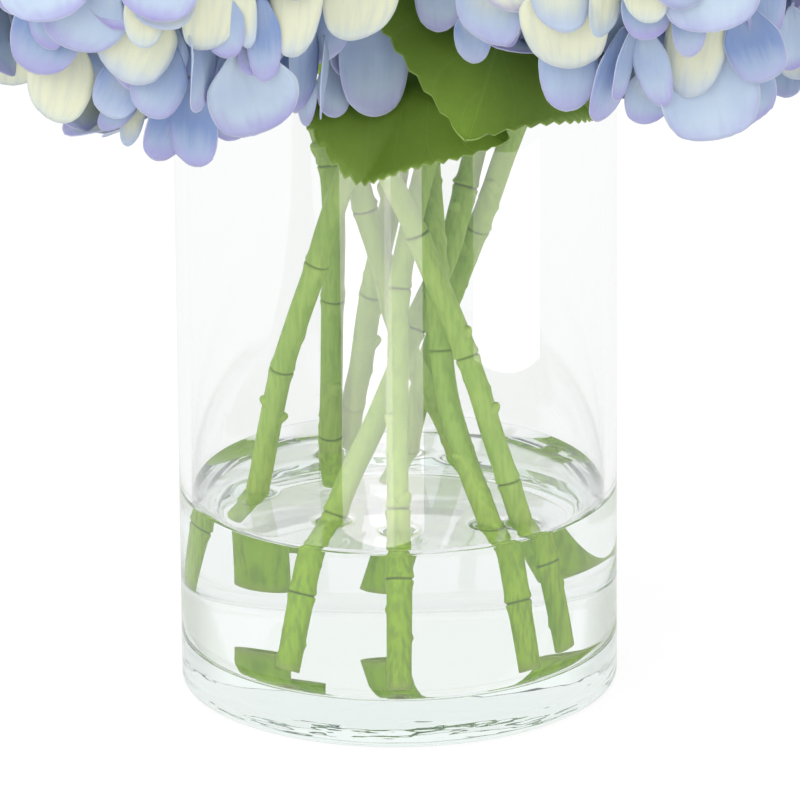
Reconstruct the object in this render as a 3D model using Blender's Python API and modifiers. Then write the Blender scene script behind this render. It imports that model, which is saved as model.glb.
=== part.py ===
"""Hydrangeas in a clear glass cylinder vase, set in clear resin that stands for water.

Units are metres, +Z is up, and the origin is the middle of the vase's flat underside.
-Y is the front. Every flower head, stem and leaf is one closed solid.
"""

import math
import random

import bmesh
import bpy
import numpy as np
from mathutils import Matrix, Vector

# Vase: a cylinder six inches wide and nine inches high, with a thick base
VASE_RADIUS = 0.0762
VASE_HEIGHT = 0.229
WALL = 0.0042
BASE = 0.015
INNER_CORNER = 0.007
OUTER_CORNER = 0.004
VASE_SEGMENTS = 44

# Clear resin in the lower third of the vase
GAP = 0.0003
WATER_TOP = 0.0686

# Stems: moulded tubes, each in its own blind hole in the resin
STEM_RADIUS = 0.0044
HOLE_CLEARANCE = 0.00035
STEM_STATIONS = 14
STEM_STEPS_IN_CURVE = 24
BUD_RADIUS = 0.0024
BUD_LENGTH = 0.0085
BUD_SIDES = 5

# Flower heads: florets of four petals on a round core
HEAD_RADIUS = 0.079
CORE_RADIUS = 0.061
CORE_RINGS = 6
CORE_SEGMENTS = 10
NECK_RADIUS = 0.0065
NECK_DROP = 0.065
FLORET_RADIUS = 0.0315
FLORET_ROOT = 0.053
FLORET_NOTCH = 0.76
FLORET_CUP = 0.004
FLORET_TWIST = 0.0035
FLORET_LEAN = 0.22
FLORET_STRAY = 0.07
FLORETS = 21
BARE_ANGLE = math.radians(42)
HIDDEN_REACH = 0.055
SOFT_START = 0.80
CLEAR = 0.001

# Leaves: thin blades with a cut edge
LEAF_THICKNESS = 0.0009
LEAF_TEETH = 6
LEAF_TOOTH_DEPTH = 0.14
STALK_HALF_WIDTH = 0.0010
STALK_SHARE = 0.18
STALK_FOOT = 0.3
DROP_START = 0.28
DROP_RUN = 0.3

# Middle of each flower head
HEADS = {
    "front_left": (-0.072, -0.086, 0.296),
    "front_right": (0.080, -0.086, 0.302),
    "left": (-0.139, -0.002, 0.302),
    "right": (0.158, 0.008, 0.298),
    "back_left": (-0.082, 0.100, 0.302),
    "back_right": (0.079, 0.102, 0.304),
    "top_left": (-0.064, 0.032, 0.362),
    "top_right": (0.064, 0.036, 0.364),
    "top_front": (0.003, -0.054, 0.366),
}

# Route of each stem from its cut end in the resin; the last point only aims it at its flower head
STEMS = {
    "front_left": [
        (0.051, -0.032, 0.022), (0.042, -0.033, 0.068), (0.035, -0.031, 0.089), (0.028, -0.028, 0.113),
        (0.020, -0.024, 0.136), (0.009, -0.022, 0.163), (0.002, -0.022, 0.180), (-0.020, -0.034, 0.229),
        (-0.042, -0.059, 0.258),
    ],
    "front_right": [
        (-0.058, 0.001, 0.034), (-0.048, 0.000, 0.073), (-0.040, -0.004, 0.114), (-0.028, -0.009, 0.151),
        (-0.020, -0.012, 0.178), (-0.011, -0.013, 0.198), (0.012, -0.023, 0.229), (0.044, -0.054, 0.260),
    ],
    "left": [
        (0.028, 0.042, 0.030), (0.019, 0.034, 0.077), (0.011, 0.024, 0.095), (0.001, 0.015, 0.121),
        (-0.004, 0.006, 0.145), (-0.011, 0.000, 0.171), (-0.018, -0.003, 0.195), (-0.042, -0.010, 0.229),
        (-0.082, -0.003, 0.256),
    ],
    "right": [
        (-0.003, 0.046, 0.028), (0.004, 0.042, 0.072), (0.009, 0.037, 0.095), (0.015, 0.030, 0.117),
        (0.022, 0.024, 0.138), (0.034, 0.016, 0.173), (0.042, 0.010, 0.197), (0.058, 0.004, 0.229),
        (0.102, 0.006, 0.264),
    ],
    "back_left": [
        (-0.023, 0.044, 0.027), (-0.024, 0.041, 0.072), (-0.023, 0.034, 0.112), (-0.022, 0.028, 0.150),
        (-0.024, 0.025, 0.184), (-0.040, 0.036, 0.229), (-0.062, 0.066, 0.265),
    ],
    "back_right": [
        (-0.034, -0.040, 0.019), (-0.022, -0.029, 0.069), (-0.004, -0.012, 0.105), (0.010, 0.002, 0.137),
        (0.018, 0.009, 0.152), (0.025, 0.017, 0.175), (0.040, 0.036, 0.229), (0.057, 0.068, 0.266),
    ],
    "top_left": [
        (0.041, -0.045, 0.019), (0.031, -0.035, 0.069), (0.022, -0.024, 0.090), (0.017, -0.018, 0.109),
        (0.015, -0.013, 0.129), (0.0135, -0.006, 0.151), (0.012, 0.006, 0.175), (0.008, 0.024, 0.205),
        (-0.008, 0.036, 0.235), (-0.026, 0.032, 0.290),
    ],
    "top_right": [
        (0.000, -0.058, 0.017), (0.000, -0.040, 0.069), (0.000, -0.024, 0.108), (0.001, -0.011, 0.143),
        (0.004, -0.007, 0.160), (0.008, -0.004, 0.178), (0.022, 0.008, 0.229), (0.042, 0.022, 0.295),
    ],
    "top_front": [
        (-0.016, 0.054, 0.040), (-0.017, 0.050, 0.073), (-0.013, 0.037, 0.101), (-0.009, 0.025, 0.130),
        (-0.004, 0.017, 0.157), (0.001, 0.011, 0.184), (0.003, 0.001, 0.229), (0.001, -0.018, 0.290),
    ],
}

# Side buds and cut side shoots: share of the way up the stem, and the way each one points
BUDS = {
    "front_left": [(0.34, (1.0, -0.2, 0.5)), (0.45, (0.9, -0.6, 0.6))],
    "front_right": [(0.26, (-1.0, -0.3, 0.6)), (0.24, (1.0, -0.2, 0.3))],
    "left": [(0.30, (-0.9, -0.4, 0.5)), (0.63, (0.3, -0.5, 1.0))],
    "right": [(0.47, (-0.9, -0.5, 0.4)), (0.62, (0.9, -0.4, 0.6))],
    "back_left": [(0.27, (0.6, -0.9, 0.4)), (0.64, (-0.8, -0.4, 0.9))],
    "back_right": [(0.40, (-0.9, -0.3, 0.4)), (0.60, (-0.6, -0.9, 0.9))],
    "top_left": [(0.24, (-0.9, -0.6, 0.4)), (0.37, (0.9, -0.5, 0.3))],
    "top_right": [(0.21, (0.8, -0.7, 0.4)), (0.30, (-0.8, -0.7, 0.3))],
    "top_front": [(0.27, (0.9, -0.3, 0.5)), (0.50, (-0.9, -0.4, 1.0))],
}

# Leaves: stem, share of the way up it, bend, tip, widest half width, and how far each half drops
LEAVES = {
    "front_right": ("front_right", 0.868, (0.036, -0.088, 0.270), (0.024, -0.114, 0.229), 0.047, (14, 2)),
    "front_left": ("front_left", 0.865, (-0.008, -0.092, 0.252), (0.038, -0.094, 0.222), 0.036, (-4, 46)),
    "back": ("top_left", 0.762, (-0.008, 0.080, 0.252), (-0.006, 0.114, 0.212), 0.040, (8, 14)),
    "back_right": ("back_right", 0.885, (0.088, 0.054, 0.254), (0.122, 0.062, 0.220), 0.036, (14, 8)),
    "left": ("left", 0.898, (-0.098, 0.040, 0.246), (-0.126, 0.064, 0.212), 0.036, (10, 12)),
}

PETAL_BLUE = (0.45, 0.56, 0.82)
LEAF_GREEN = (0.14, 0.27, 0.05)
STEM_GREEN = (0.27, 0.45, 0.11)
GLASS_TINT = (0.90, 0.95, 0.93)
WATER_TINT = (0.93, 0.98, 0.96)


def clear_scene():
    """Remove the objects that the file opened with."""
    for item in list(bpy.data.objects):
        bpy.data.objects.remove(item, do_unlink=True)


def new_collection(name):
    """Add a collection to the scene."""
    group = bpy.data.collections.new(name)
    bpy.context.scene.collection.children.link(group)
    return group


def new_material(name, color, roughness, alpha=1.0, transmission=0.0):
    """A Principled material with plain values."""
    material = bpy.data.materials.new(name)
    material.use_nodes = True
    shader = material.node_tree.nodes["Principled BSDF"]
    shader.inputs["Base Color"].default_value = (*color, 1.0)
    shader.inputs["Roughness"].default_value = roughness
    shader.inputs["Metallic"].default_value = 0.0
    shader.inputs["Alpha"].default_value = alpha
    shader.inputs["Transmission Weight"].default_value = transmission
    return material


def add_object(name, mesh, group, material=None):
    """Put a mesh in a collection under a node's name."""
    item = bpy.data.objects.new(name, mesh)
    group.objects.link(item)
    if material is not None:
        mesh.materials.clear()
        mesh.materials.append(material)
    return item


def mesh_from_bmesh(name, bm):
    """Turn a bmesh into a mesh with its faces pointing out."""
    bmesh.ops.recalc_face_normals(bm, faces=bm.faces)
    mesh = bpy.data.meshes.new(name)
    bm.to_mesh(mesh)
    bm.free()
    return mesh


def settle(item):
    """Replace an object's mesh by its evaluated one and drop its modifiers."""
    bpy.context.view_layer.update()
    evaluated = item.evaluated_get(bpy.context.evaluated_depsgraph_get())
    mesh = bpy.data.meshes.new_from_object(evaluated)
    item.modifiers.clear()
    item.data = mesh


def boolean(item, cutters, operation):
    """Join or cut an object with all the objects of a collection, and remove them."""
    step = item.modifiers.new(operation.lower(), "BOOLEAN")
    step.operation = operation
    step.operand_type = "COLLECTION"
    step.collection = cutters
    step.solver = "MANIFOLD"
    settle(item)
    for other in list(cutters.objects):
        bpy.data.objects.remove(other, do_unlink=True)


def arc(centre, radius, start, end, steps):
    """Points of an arc in the (radius, height) plane, with angles in degrees."""
    angles = [math.radians(start + (end - start) * i / steps) for i in range(steps + 1)]
    return [(centre[0] + radius * math.cos(a), centre[1] + radius * math.sin(a)) for a in angles]


def turned(name, profile, group, material):
    """Turn a profile at +X, run down its outer side, about the Z axis."""
    mesh = bpy.data.meshes.new(name)
    points = [(r, 0.0, z) for r, z in profile]
    mesh.from_pydata(points, [(i, i + 1) for i in range(len(points) - 1)], [])
    item = add_object(name, mesh, group, material)
    screw = item.modifiers.new("turn", "SCREW")
    screw.steps = VASE_SEGMENTS
    screw.render_steps = VASE_SEGMENTS
    screw.use_merge_vertices = True
    screw.merge_threshold = 0.00002
    screw.use_smooth_shade = True
    return item


def make_vase(group, material):
    """Straight wall, rounded rim, thick base with a rounded corner inside."""
    inner = VASE_RADIUS - WALL
    rim_height = VASE_HEIGHT - WALL / 2
    outer_floor = arc((VASE_RADIUS - OUTER_CORNER, OUTER_CORNER), OUTER_CORNER, 0, -90, 3)
    rim = arc((VASE_RADIUS - WALL / 2, rim_height), WALL / 2, 180, 0, 4)
    inner_corner = arc((inner - INNER_CORNER, BASE + INNER_CORNER), INNER_CORNER, -90, 0, 4)
    profile = [(0.0, BASE)] + inner_corner + rim + outer_floor + [(0.0, 0.0)]
    return turned("vase", profile, group, material)


def make_water(group, cutters, material):
    """Clear resin that fills the foot of the vase, with a blind hole for each stem."""
    radius = VASE_RADIUS - WALL - GAP
    corner = INNER_CORNER
    bottom = arc((radius - corner, BASE + GAP + corner), corner, 0, -90, 4)
    profile = [(0.0, WATER_TOP), (radius, WATER_TOP)] + bottom + [(0.0, BASE + GAP)]
    item = turned("water", profile, group, material)
    settle(item)
    for name in STEMS:
        make_tube(name + "_hole", hole_route(name), STEM_RADIUS + HOLE_CLEARANCE, cutters, None)
    boolean(item, cutters, "DIFFERENCE")
    return item


def smooth_route(points, stations):
    """Catmull-Rom curve through the points, read at even steps of its length."""
    given = np.array(points)
    ends = np.vstack((2 * given[0] - given[1], given, 2 * given[-1] - given[-2]))
    t = np.linspace(0.0, 1.0, STEM_STEPS_IN_CURVE, endpoint=False)[:, None]
    pieces = []
    for i in range(1, len(ends) - 2):
        a, b, c, d = ends[i - 1], ends[i], ends[i + 1], ends[i + 2]
        cubic = (3 * b - a - 3 * c + d) * t ** 3 + (2 * a - 5 * b + 4 * c - d) * t ** 2
        pieces.append(0.5 * (cubic + (c - a) * t + 2 * b))
    dense = np.vstack(pieces + [given[-1][None]])
    length = np.concatenate(([0.0], np.cumsum(np.linalg.norm(np.diff(dense, axis=0), axis=1))))
    even = np.linspace(0.0, length[-1], stations)
    return np.column_stack([np.interp(even, length, dense[:, k]) for k in range(3)])


def stem_axis(name):
    """Unit vector from the middle of a flower head towards its stem."""
    away = np.array(STEMS[name][-1]) - np.array(HEADS[name])
    return away / np.linalg.norm(away)


def stem_points(name):
    """A stem's route, whose last point gives way to the seat under the flower head."""
    seat = np.array(HEADS[name]) + stem_axis(name) * (NECK_DROP + GAP)
    return [np.array(p) for p in STEMS[name][:-1]] + [seat]


def stem_route(name):
    """The stem's middle line at even stations, with a short straight end in the head's axis."""
    route = smooth_route(stem_points(name), STEM_STATIONS)
    route[-2] = route[-1] + stem_axis(name) * np.linalg.norm(route[-1] - route[-2])
    return route


def hole_route(name):
    """The part of a stem's route inside the resin, begun just below the cut end."""
    route = stem_route(name)
    inside = route[route[:, 2] < WATER_TOP + 7 * STEM_RADIUS]
    down = inside[0] - inside[1]
    down /= np.linalg.norm(down)
    return np.vstack((inside[0] + down * GAP * 1.5, inside[1:]))


def make_tube(name, route, radius, group, material):
    """An eight-sided tube along a route, as a mesh with welded caps."""
    curve = bpy.data.curves.new(name, "CURVE")
    curve.dimensions = "3D"
    curve.bevel_depth = radius
    curve.bevel_resolution = 2
    curve.use_fill_caps = True
    spline = curve.splines.new("POLY")
    spline.points.add(len(route) - 1)
    for point, place in zip(spline.points, route):
        point.co = (*place, 1.0)
    guide = bpy.data.objects.new(name + "_guide", curve)
    group.objects.link(guide)
    bpy.context.view_layer.update()
    evaluated = guide.evaluated_get(bpy.context.evaluated_depsgraph_get())
    mesh = bpy.data.meshes.new_from_object(evaluated)
    bpy.data.objects.remove(guide, do_unlink=True)
    bm = bmesh.new()
    bm.from_mesh(mesh)
    bmesh.ops.remove_doubles(bm, verts=bm.verts, dist=0.00001)
    bmesh.ops.recalc_face_normals(bm, faces=bm.faces)
    bm.to_mesh(mesh)
    bm.free()
    return add_object(name, mesh, group, material)


def make_bud(name, foot, direction, group):
    """A small five-sided bud that leans off the stem."""
    axis = Vector(direction).normalized()
    turn = axis.to_track_quat("Z", "Y").to_matrix().to_4x4()
    place = Matrix.Translation(Vector(foot)) @ turn @ Matrix.Translation((0.0, 0.0, BUD_LENGTH / 2))
    bm = bmesh.new()
    bmesh.ops.create_cone(
        bm, cap_ends=True, segments=BUD_SIDES, radius1=BUD_RADIUS, radius2=BUD_RADIUS * 0.6,
        depth=BUD_LENGTH, matrix=place,
    )
    return add_object(name, mesh_from_bmesh(name, bm), group)


def make_stem(name, group, cutters, material):
    """A stem with its side buds fused on."""
    route = stem_route(name)
    item = make_tube("stem_" + name, route, STEM_RADIUS, group, material)
    for number, (share, direction) in enumerate(BUDS[name]):
        at = share * (STEM_STATIONS - 1)
        low = int(at)
        foot = route[low] + (route[low + 1] - route[low]) * (at - low)
        make_bud(f"bud_{name}_{number}", foot, direction, cutters)
    boolean(item, cutters, "UNION")
    item.data.shade_smooth()
    item.data.set_sharp_from_angle(angle=math.radians(50))
    return item


def leaf_foot(stem, share, bend):
    """Where a leaf's stalk meets the side of its stem, with the seating gap."""
    at = share * (STEM_STATIONS - 1)
    route = stem_route(stem)
    low = int(at)
    run = route[low + 1] - route[low]
    place = route[low] + run * (at - low)
    run /= np.linalg.norm(run)
    outward = bend - place
    outward -= run * (outward @ run)
    return place + outward / np.linalg.norm(outward) * (STEM_RADIUS + 2.2 * GAP)


def leaf_rib(name, stations):
    """Rib points of a leaf on a quadratic curve, with the level side vector and the upward one at each."""
    stem, share, bend, tip = LEAVES[name][:4]
    bend, tip = np.array(bend), np.array(tip)
    foot = leaf_foot(stem, share, bend)
    t = np.linspace(0.0, 1.0, stations)[:, None]
    rib = (1 - t) ** 2 * foot + 2 * t * (1 - t) * bend + t ** 2 * tip
    run = 2 * (1 - t) * (bend - foot) + 2 * t * (tip - bend)
    run /= np.linalg.norm(run, axis=1)[:, None]
    side = np.cross(run, (0.0, 0.0, 1.0))
    side /= np.linalg.norm(side, axis=1)[:, None]
    return rib, side, np.cross(side, run)


def leaf_half_widths(stations, half_width):
    """Half width along the rib: a stalk, a broad blade widest before its middle, and saw teeth."""
    t = np.linspace(0.0, 1.0, stations)
    blade = np.clip((t - STALK_SHARE) / (1.0 - STALK_SHARE), 0.0, 1.0)
    outline = half_width * np.sin(math.pi * blade ** 0.72) ** 0.8
    teeth = np.where(np.arange(stations) % 2 == 0, 1.0, 1.0 - LEAF_TOOTH_DEPTH)
    widths = np.maximum(outline * teeth, STALK_HALF_WIDTH * (1.0 - 0.6 * t))
    widths[0] *= STALK_FOOT
    return widths


def leaf_row(name, stations, share):
    """Points of a leaf at a share of its half width, from -1 on one edge to 1 on the other."""
    rib, side, up = leaf_rib(name, stations)
    half_width, drops = LEAVES[name][4:]
    past = np.clip((np.linspace(0.0, 1.0, stations) - DROP_START) / DROP_RUN, 0.0, 1.0)
    angle = (math.radians(drops[1] if share > 0 else drops[0]) * past * past * (3 - 2 * past))[:, None]
    widths = leaf_half_widths(stations, half_width)[:, None]
    return rib + (side * np.cos(angle) * share - up * np.sin(angle) * abs(share)) * widths


def make_leaf(name, group, material):
    """A thin blade: its rib, and on each side a row of teeth, joined by triangles."""
    stations = 2 * LEAF_TEETH + 3
    bm = bmesh.new()
    left, middle, right = [[bm.verts.new(p) for p in leaf_row(name, stations, s)] for s in (-1, 0, 1)]
    for i in range(stations - 1):
        bm.faces.new((left[i], middle[i + 1], middle[i]))
        bm.faces.new((left[i], left[i + 1], middle[i + 1]))
        bm.faces.new((middle[i], middle[i + 1], right[i]))
        bm.faces.new((middle[i + 1], right[i + 1], right[i]))
    mesh = bpy.data.meshes.new("leaf_" + name)
    bm.to_mesh(mesh)
    bm.free()
    item = add_object("leaf_" + name, mesh, group, material)
    shell = item.modifiers.new("thickness", "SOLIDIFY")
    shell.thickness = LEAF_THICKNESS
    shell.offset = 0.0
    settle(item)
    return item


def nearest(centre, points):
    """Vector from a head's middle to the nearest of some points."""
    away = points - centre
    return away[np.linalg.norm(away, axis=1).argmin()]


def rim_circle():
    """Points round the middle of the vase's rounded rim."""
    around = np.linspace(0.0, 2 * math.pi, 4 * VASE_SEGMENTS)
    radius = VASE_RADIUS - WALL / 2
    height = np.full(len(around), VASE_HEIGHT - WALL / 2)
    return np.column_stack((radius * np.cos(around), radius * np.sin(around), height))


def head_limits(name):
    """Flat limits round a head, as unit directions and distances, that keep it off all its neighbours."""
    centre = np.array(HEADS[name])
    away = [nearest(centre, rim_circle())]
    gaps = [WALL / 2 + CLEAR]
    shares = [1.0]
    for other in HEADS:
        if other != name:
            away.append(np.array(HEADS[other]) - centre)
            away.append(nearest(centre, smooth_route(stem_points(other), 6 * STEM_STATIONS)))
            gaps += [GAP * 1.5, STEM_RADIUS + CLEAR]
            shares += [0.5, 1.0]
    for leaf in LEAVES:
        skin = np.vstack([leaf_row(leaf, 4 * LEAF_TEETH, share) for share in (-1, -0.5, 0, 0.5, 1)])
        away.append(nearest(centre, skin))
        gaps.append(LEAF_THICKNESS + CLEAR)
        shares.append(1.0)
    length = np.linalg.norm(away, axis=1)
    return np.array(away) / length[:, None], length * shares - gaps


def bounds_along(rays, limits):
    """How far a head may reach along each ray before the nearest flat limit."""
    directions, reach = limits
    facing = np.maximum(rays @ directions.T, 1e-6)
    return (reach / facing).min(axis=1)


def press(points, limits):
    """Draw points in towards the middle along their own rays, so that none passes a flat limit."""
    length = np.linalg.norm(points, axis=1)
    rays = points / np.maximum(length, 1e-9)[:, None]
    bound = bounds_along(rays, limits)
    soft = SOFT_START * bound
    spare = bound - soft
    pressed = soft + spare * (1.0 - np.exp(-np.maximum(length - soft, 0.0) / spare))
    return rays * np.where(length > soft, pressed, length)[:, None]


def floret_directions(name, draw):
    """Even directions on a sphere by the golden angle, bare round the stem, each moved a little."""
    golden = math.pi * (3.0 - math.sqrt(5.0))
    axis = Vector(-stem_axis(name))
    turn = axis.to_track_quat("Z", "Y")
    start = draw.uniform(0.0, math.tau)
    directions = []
    for i in range(FLORETS):
        height = 1.0 - 2.0 * (i + 0.5) / FLORETS
        if math.acos(-height) < BARE_ANGLE:
            continue
        ring = math.sqrt(1.0 - height * height)
        angle = start + golden * i
        moved = Vector((ring * math.cos(angle), ring * math.sin(angle), height))
        moved += Vector([draw.uniform(-FLORET_STRAY, FLORET_STRAY) for _ in range(3)])
        directions.append(turn @ moved.normalized())
    return directions


def shape_floret(bm, size, twist):
    """Turn a twelve-sided double cone into four notched petals that each slope to one side."""
    for vert in bm.verts:
        x, y, z = vert.co
        if z > 0.5:
            vert.co = (0.0, 0.0, -FLORET_CUP)
        elif z < -0.5:
            vert.co = (0.0, 0.0, FLORET_ROOT - HEAD_RADIUS)
        else:
            step = round(math.degrees(math.atan2(y, x)) / 30) % 3
            reach = size * (FLORET_NOTCH, 1.0, 1.0)[step]
            vert.co = (x * reach, y * reach, (-0.75 * FLORET_CUP, twist, -twist)[step])


def make_floret(name, direction, limits, centre, draw, group):
    """Four broad petals as one lens: a ring of twelve points, a sunk eye and a root in the core."""
    bm = bmesh.new()
    bmesh.ops.create_uvsphere(bm, u_segments=12, v_segments=2, radius=1.0)
    size = FLORET_RADIUS * draw.uniform(0.92, 1.06)
    shape_floret(bm, size, FLORET_TWIST * draw.choice((-1, 1)))
    spin = Matrix.Rotation(draw.uniform(0.0, math.tau), 4, "Z")
    nod = Matrix.Rotation(draw.uniform(-FLORET_LEAN, FLORET_LEAN), 4, "X")
    roll = Matrix.Rotation(draw.uniform(-FLORET_LEAN, FLORET_LEAN), 4, "Y")
    outward = direction.to_track_quat("Z", "Y").to_matrix().to_4x4()
    place = outward @ Matrix.Translation((0.0, 0.0, HEAD_RADIUS - FLORET_CUP)) @ nod @ roll @ spin
    bmesh.ops.transform(bm, matrix=place, verts=bm.verts)
    points = press(np.array([v.co for v in bm.verts]), limits) + centre
    for vert, co in zip(bm.verts, points):
        vert.co = co
    return add_object(name, mesh_from_bmesh(name, bm), group)


def make_core(name, limits, group, material):
    """Round middle of a flower head, drawn out to a flat seat that meets the stem."""
    bm = bmesh.new()
    bmesh.ops.create_uvsphere(bm, u_segments=CORE_SEGMENTS, v_segments=CORE_RINGS, radius=CORE_RADIUS)
    axis = Vector(-stem_axis(name))
    bmesh.ops.transform(bm, matrix=axis.to_track_quat("Z", "Y").to_matrix().to_4x4(), verts=bm.verts)
    low = -CORE_RADIUS * math.cos(math.pi / CORE_RINGS) - 0.0001
    for vert in bm.verts:
        along = vert.co.dot(axis)
        if along > low:
            vert.co = press(np.array([vert.co]), limits)[0]
        else:
            out = vert.co - axis * along
            vert.co = -axis * NECK_DROP
            if out.length > 0.0001:
                vert.co += out.normalized() * NECK_RADIUS
    bmesh.ops.translate(bm, vec=HEADS[name], verts=bm.verts)
    return add_object("flower_head_" + name, mesh_from_bmesh(name, bm), group, material)


def make_head(name, seed, group, cutters, material):
    """A core with its florets fused on, pressed where the head meets its neighbours."""
    draw = random.Random(seed)
    centre = np.array(HEADS[name])
    limits = head_limits(name)
    item = make_core(name, limits, group, material)
    for number, direction in enumerate(floret_directions(name, draw)):
        if bounds_along(np.array([direction]), limits)[0] > HIDDEN_REACH:
            make_floret(f"floret_{number}", direction, limits, centre, draw, cutters)
    boolean(item, cutters, "UNION")
    item.data.materials.clear()
    item.data.materials.append(material)
    return item


def main():
    clear_scene()
    parts = new_collection("hydrangeas_in_a_vase")
    cutters = new_collection("cutters")
    glass = new_material("clear_glass", GLASS_TINT, 0.02, alpha=0.35, transmission=1.0)
    resin = new_material("clear_resin", WATER_TINT, 0.03, alpha=0.35, transmission=1.0)
    stem_plastic = new_material("green_stem", STEM_GREEN, 0.5)
    petal_cloth = new_material("blue_petals", PETAL_BLUE, 0.8)
    leaf_cloth = new_material("green_leaf", LEAF_GREEN, 0.7)
    make_vase(parts, glass)
    make_water(parts, cutters, resin)
    for name in STEMS:
        make_stem(name, parts, cutters, stem_plastic)
    for name in LEAVES:
        make_leaf(name, parts, leaf_cloth)
    for seed, name in enumerate(HEADS):
        make_head(name, seed + 11, parts, cutters, petal_cloth)


main()
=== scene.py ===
"""Artificial hydrangeas in a glass vase: fine surfaces, finishes, light and camera.

Lengths are metres, +Z is up, -Y is the front, and the origin is the middle of the vase's flat underside.
Every piece is a surface worked out as whole arrays, in the place of the solid it stands for.
"""

import math

import bpy
import numpy as np
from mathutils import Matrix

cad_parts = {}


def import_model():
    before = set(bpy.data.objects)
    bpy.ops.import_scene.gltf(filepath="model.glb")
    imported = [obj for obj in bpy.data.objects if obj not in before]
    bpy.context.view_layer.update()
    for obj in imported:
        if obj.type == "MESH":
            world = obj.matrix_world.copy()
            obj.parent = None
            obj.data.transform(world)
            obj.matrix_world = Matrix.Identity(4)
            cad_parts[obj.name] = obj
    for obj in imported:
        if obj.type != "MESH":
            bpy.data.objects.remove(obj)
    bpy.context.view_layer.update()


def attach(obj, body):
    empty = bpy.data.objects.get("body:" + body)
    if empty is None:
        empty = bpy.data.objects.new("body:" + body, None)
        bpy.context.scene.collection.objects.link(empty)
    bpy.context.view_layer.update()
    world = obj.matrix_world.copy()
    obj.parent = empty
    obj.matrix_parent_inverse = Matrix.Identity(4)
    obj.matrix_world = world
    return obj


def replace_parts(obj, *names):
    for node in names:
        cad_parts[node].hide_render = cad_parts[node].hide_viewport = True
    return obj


# Vase: a turned glass cylinder with a thick base
VASE_RADIUS = 0.0762
VASE_HEIGHT = 0.229
WALL = 0.0042
INSIDE = VASE_RADIUS - WALL
BASE = 0.015
INNER_CORNER = 0.007
FLOOR_RADIUS = INSIDE - INNER_CORNER
CORNER_STEPS = 16
EDGE_STEP = 0.0003
OUTER_CORNER = 0.0025
FLAT_SHARES = (0.3, 0.6, 0.9, 0.995)
FOOT_RIPPLE = 0.0003
RIPPLE_FADE = 0.003
VASE_SIDES = 288

# Clear resin: level in the middle, drawn up where it meets the glass and the stems
RESIN_TOP = 0.0686
RESIN_SAG = 0.0012
RESIN_BITE = 0.00004
FLOOR_FILM = 0.00008
FILM_SHARES = (0.25, 0.5, 0.75, 0.975, 0.985)
EDGE_DROP = 0.00006
MENISCUS_HEIGHT = 0.0040
MENISCUS_REACH = 0.0105
MENISCUS_POWER = 2.3
COLLAR_HEIGHT = 0.0012
COLLAR_REACH = 0.0013

# Seeds of the random draws, and the span of a random angle
STEM_SEED = 40
LEAF_SEED = 70
HEAD_SEED = 200
RING_SEED = 500
ANGLE_SPAN = 6.28

# Stems
GAP = 0.0003
STEM_RADIUS = 0.0044
PART_DROP = 0.0004
STEM_STATIONS = 14
STEM_SIDES = 20
STEM_PITCH = 0.0017
PART_SPREAD = 0.00014
DENT = 0.00013
DENT_TWIST = 90
RING_GROOVE = 0.00055
RING_GROOVE_WIDTH = 0.00035
RING_LIP = 0.00042
RING_LIP_WIDTH = 0.0016
RING_STEPS = (0.00015, 0.0004, 0.0007, 0.0011, 0.0017, 0.0026)
KNOBS = 44
KNOB_HEIGHT = 0.0007
KNOB_WIDTH = 0.0012
BUD_SIZE = 0.0019
BUD_TAPER = (1.8, 1.65, 1.45, 1.25, 1.05, 0.8, 0.45)
BUD_SIDES = 10
BORE_SHARE = 0.50
BORE_DEPTH = 0.004
CUT_STEP = 0.0002

# Flower heads
HEAD_RADIUS = 0.079
NECK_DROP = 0.065
PETALS = 4
PETAL_LENGTH = 0.0300
PETAL_HALF_WIDTH = 0.0162
PETAL_ROUND = 0.46
PETAL_GRID = (6, 6)
PLACED_GRID = (14, 12)
PETAL_THICKNESS = 0.00035
PETAL_FRAY = 0.0018
PETAL_LAYER = 0.0008
LENGTH_SPREAD = (0.84, 1.10)
WIDTH_SPREAD = (0.86, 1.12)
BASE_WIDTH = 0.52
WAVE = 0.035
RUFFLE = (0.02, 0.06)
CUP = (-0.10, 0.26)
BEND = (-0.16, 0.02)
CREASE = 0.05
CREASE_WIDTH = 0.16
TURN_SPREAD = 0.09
TILT = (-0.10, 0.14)
FLORET_LEAN = 0.20
FLORET_SINK = 0.003
OUTER_FLORETS = 46
# Inner florets: how many, how far out they lie, and the deeper blue painted on them as shade in the gaps
# between the outer ones
INNER_FLORETS = 26
INNER_SHARE = 0.80
INNER_PAINTED_SHADE = 0.5
SUNK_SHARE = 0.70
ROOM_SHARE = 0.84
SUNK_ROOM_SHARE = 0.92
BARE_ANGLE = math.radians(34)
SOFT_START = 0.84
MARGIN = 0.0016
SIDE_SLOPE = 1.3
CLEAR_OF_PLACED = math.radians(27)
LOW_SHRINK = 0.13
FACING = 0.65

# Floret stalks: radii from the neck to the end of the bead, and the bead's stations
BEAD_RADIUS = 0.0017
STALK_RADII = (0.0016, 0.0013, 0.0010, 0.0009, 0.0009, 0.0010, BEAD_RADIUS, BEAD_RADIUS, 0.6 * BEAD_RADIUS)
STALK_SIDES = 7
STALK_STATIONS = 6
STALK_BEND = 0.022
BEAD_STEPS = (0.0, 0.0009, 0.0019, 0.0026)

# Leaves
LEAF_THICKNESS = 0.0006
LEAF_TEETH = 27
LEAF_STATIONS = 6 * LEAF_TEETH + 1
LEAF_COLUMNS = 9
TOOTH_DEPTH = 0.0023
VEIN_PAIRS = 8
STALK_HALF_WIDTH = 0.0010
DROP_START = 0.28
DROP_RUN = 0.3
LEAF_RIPPLE = 0.0010
LEAF_FOLD = 0.0016

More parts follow.
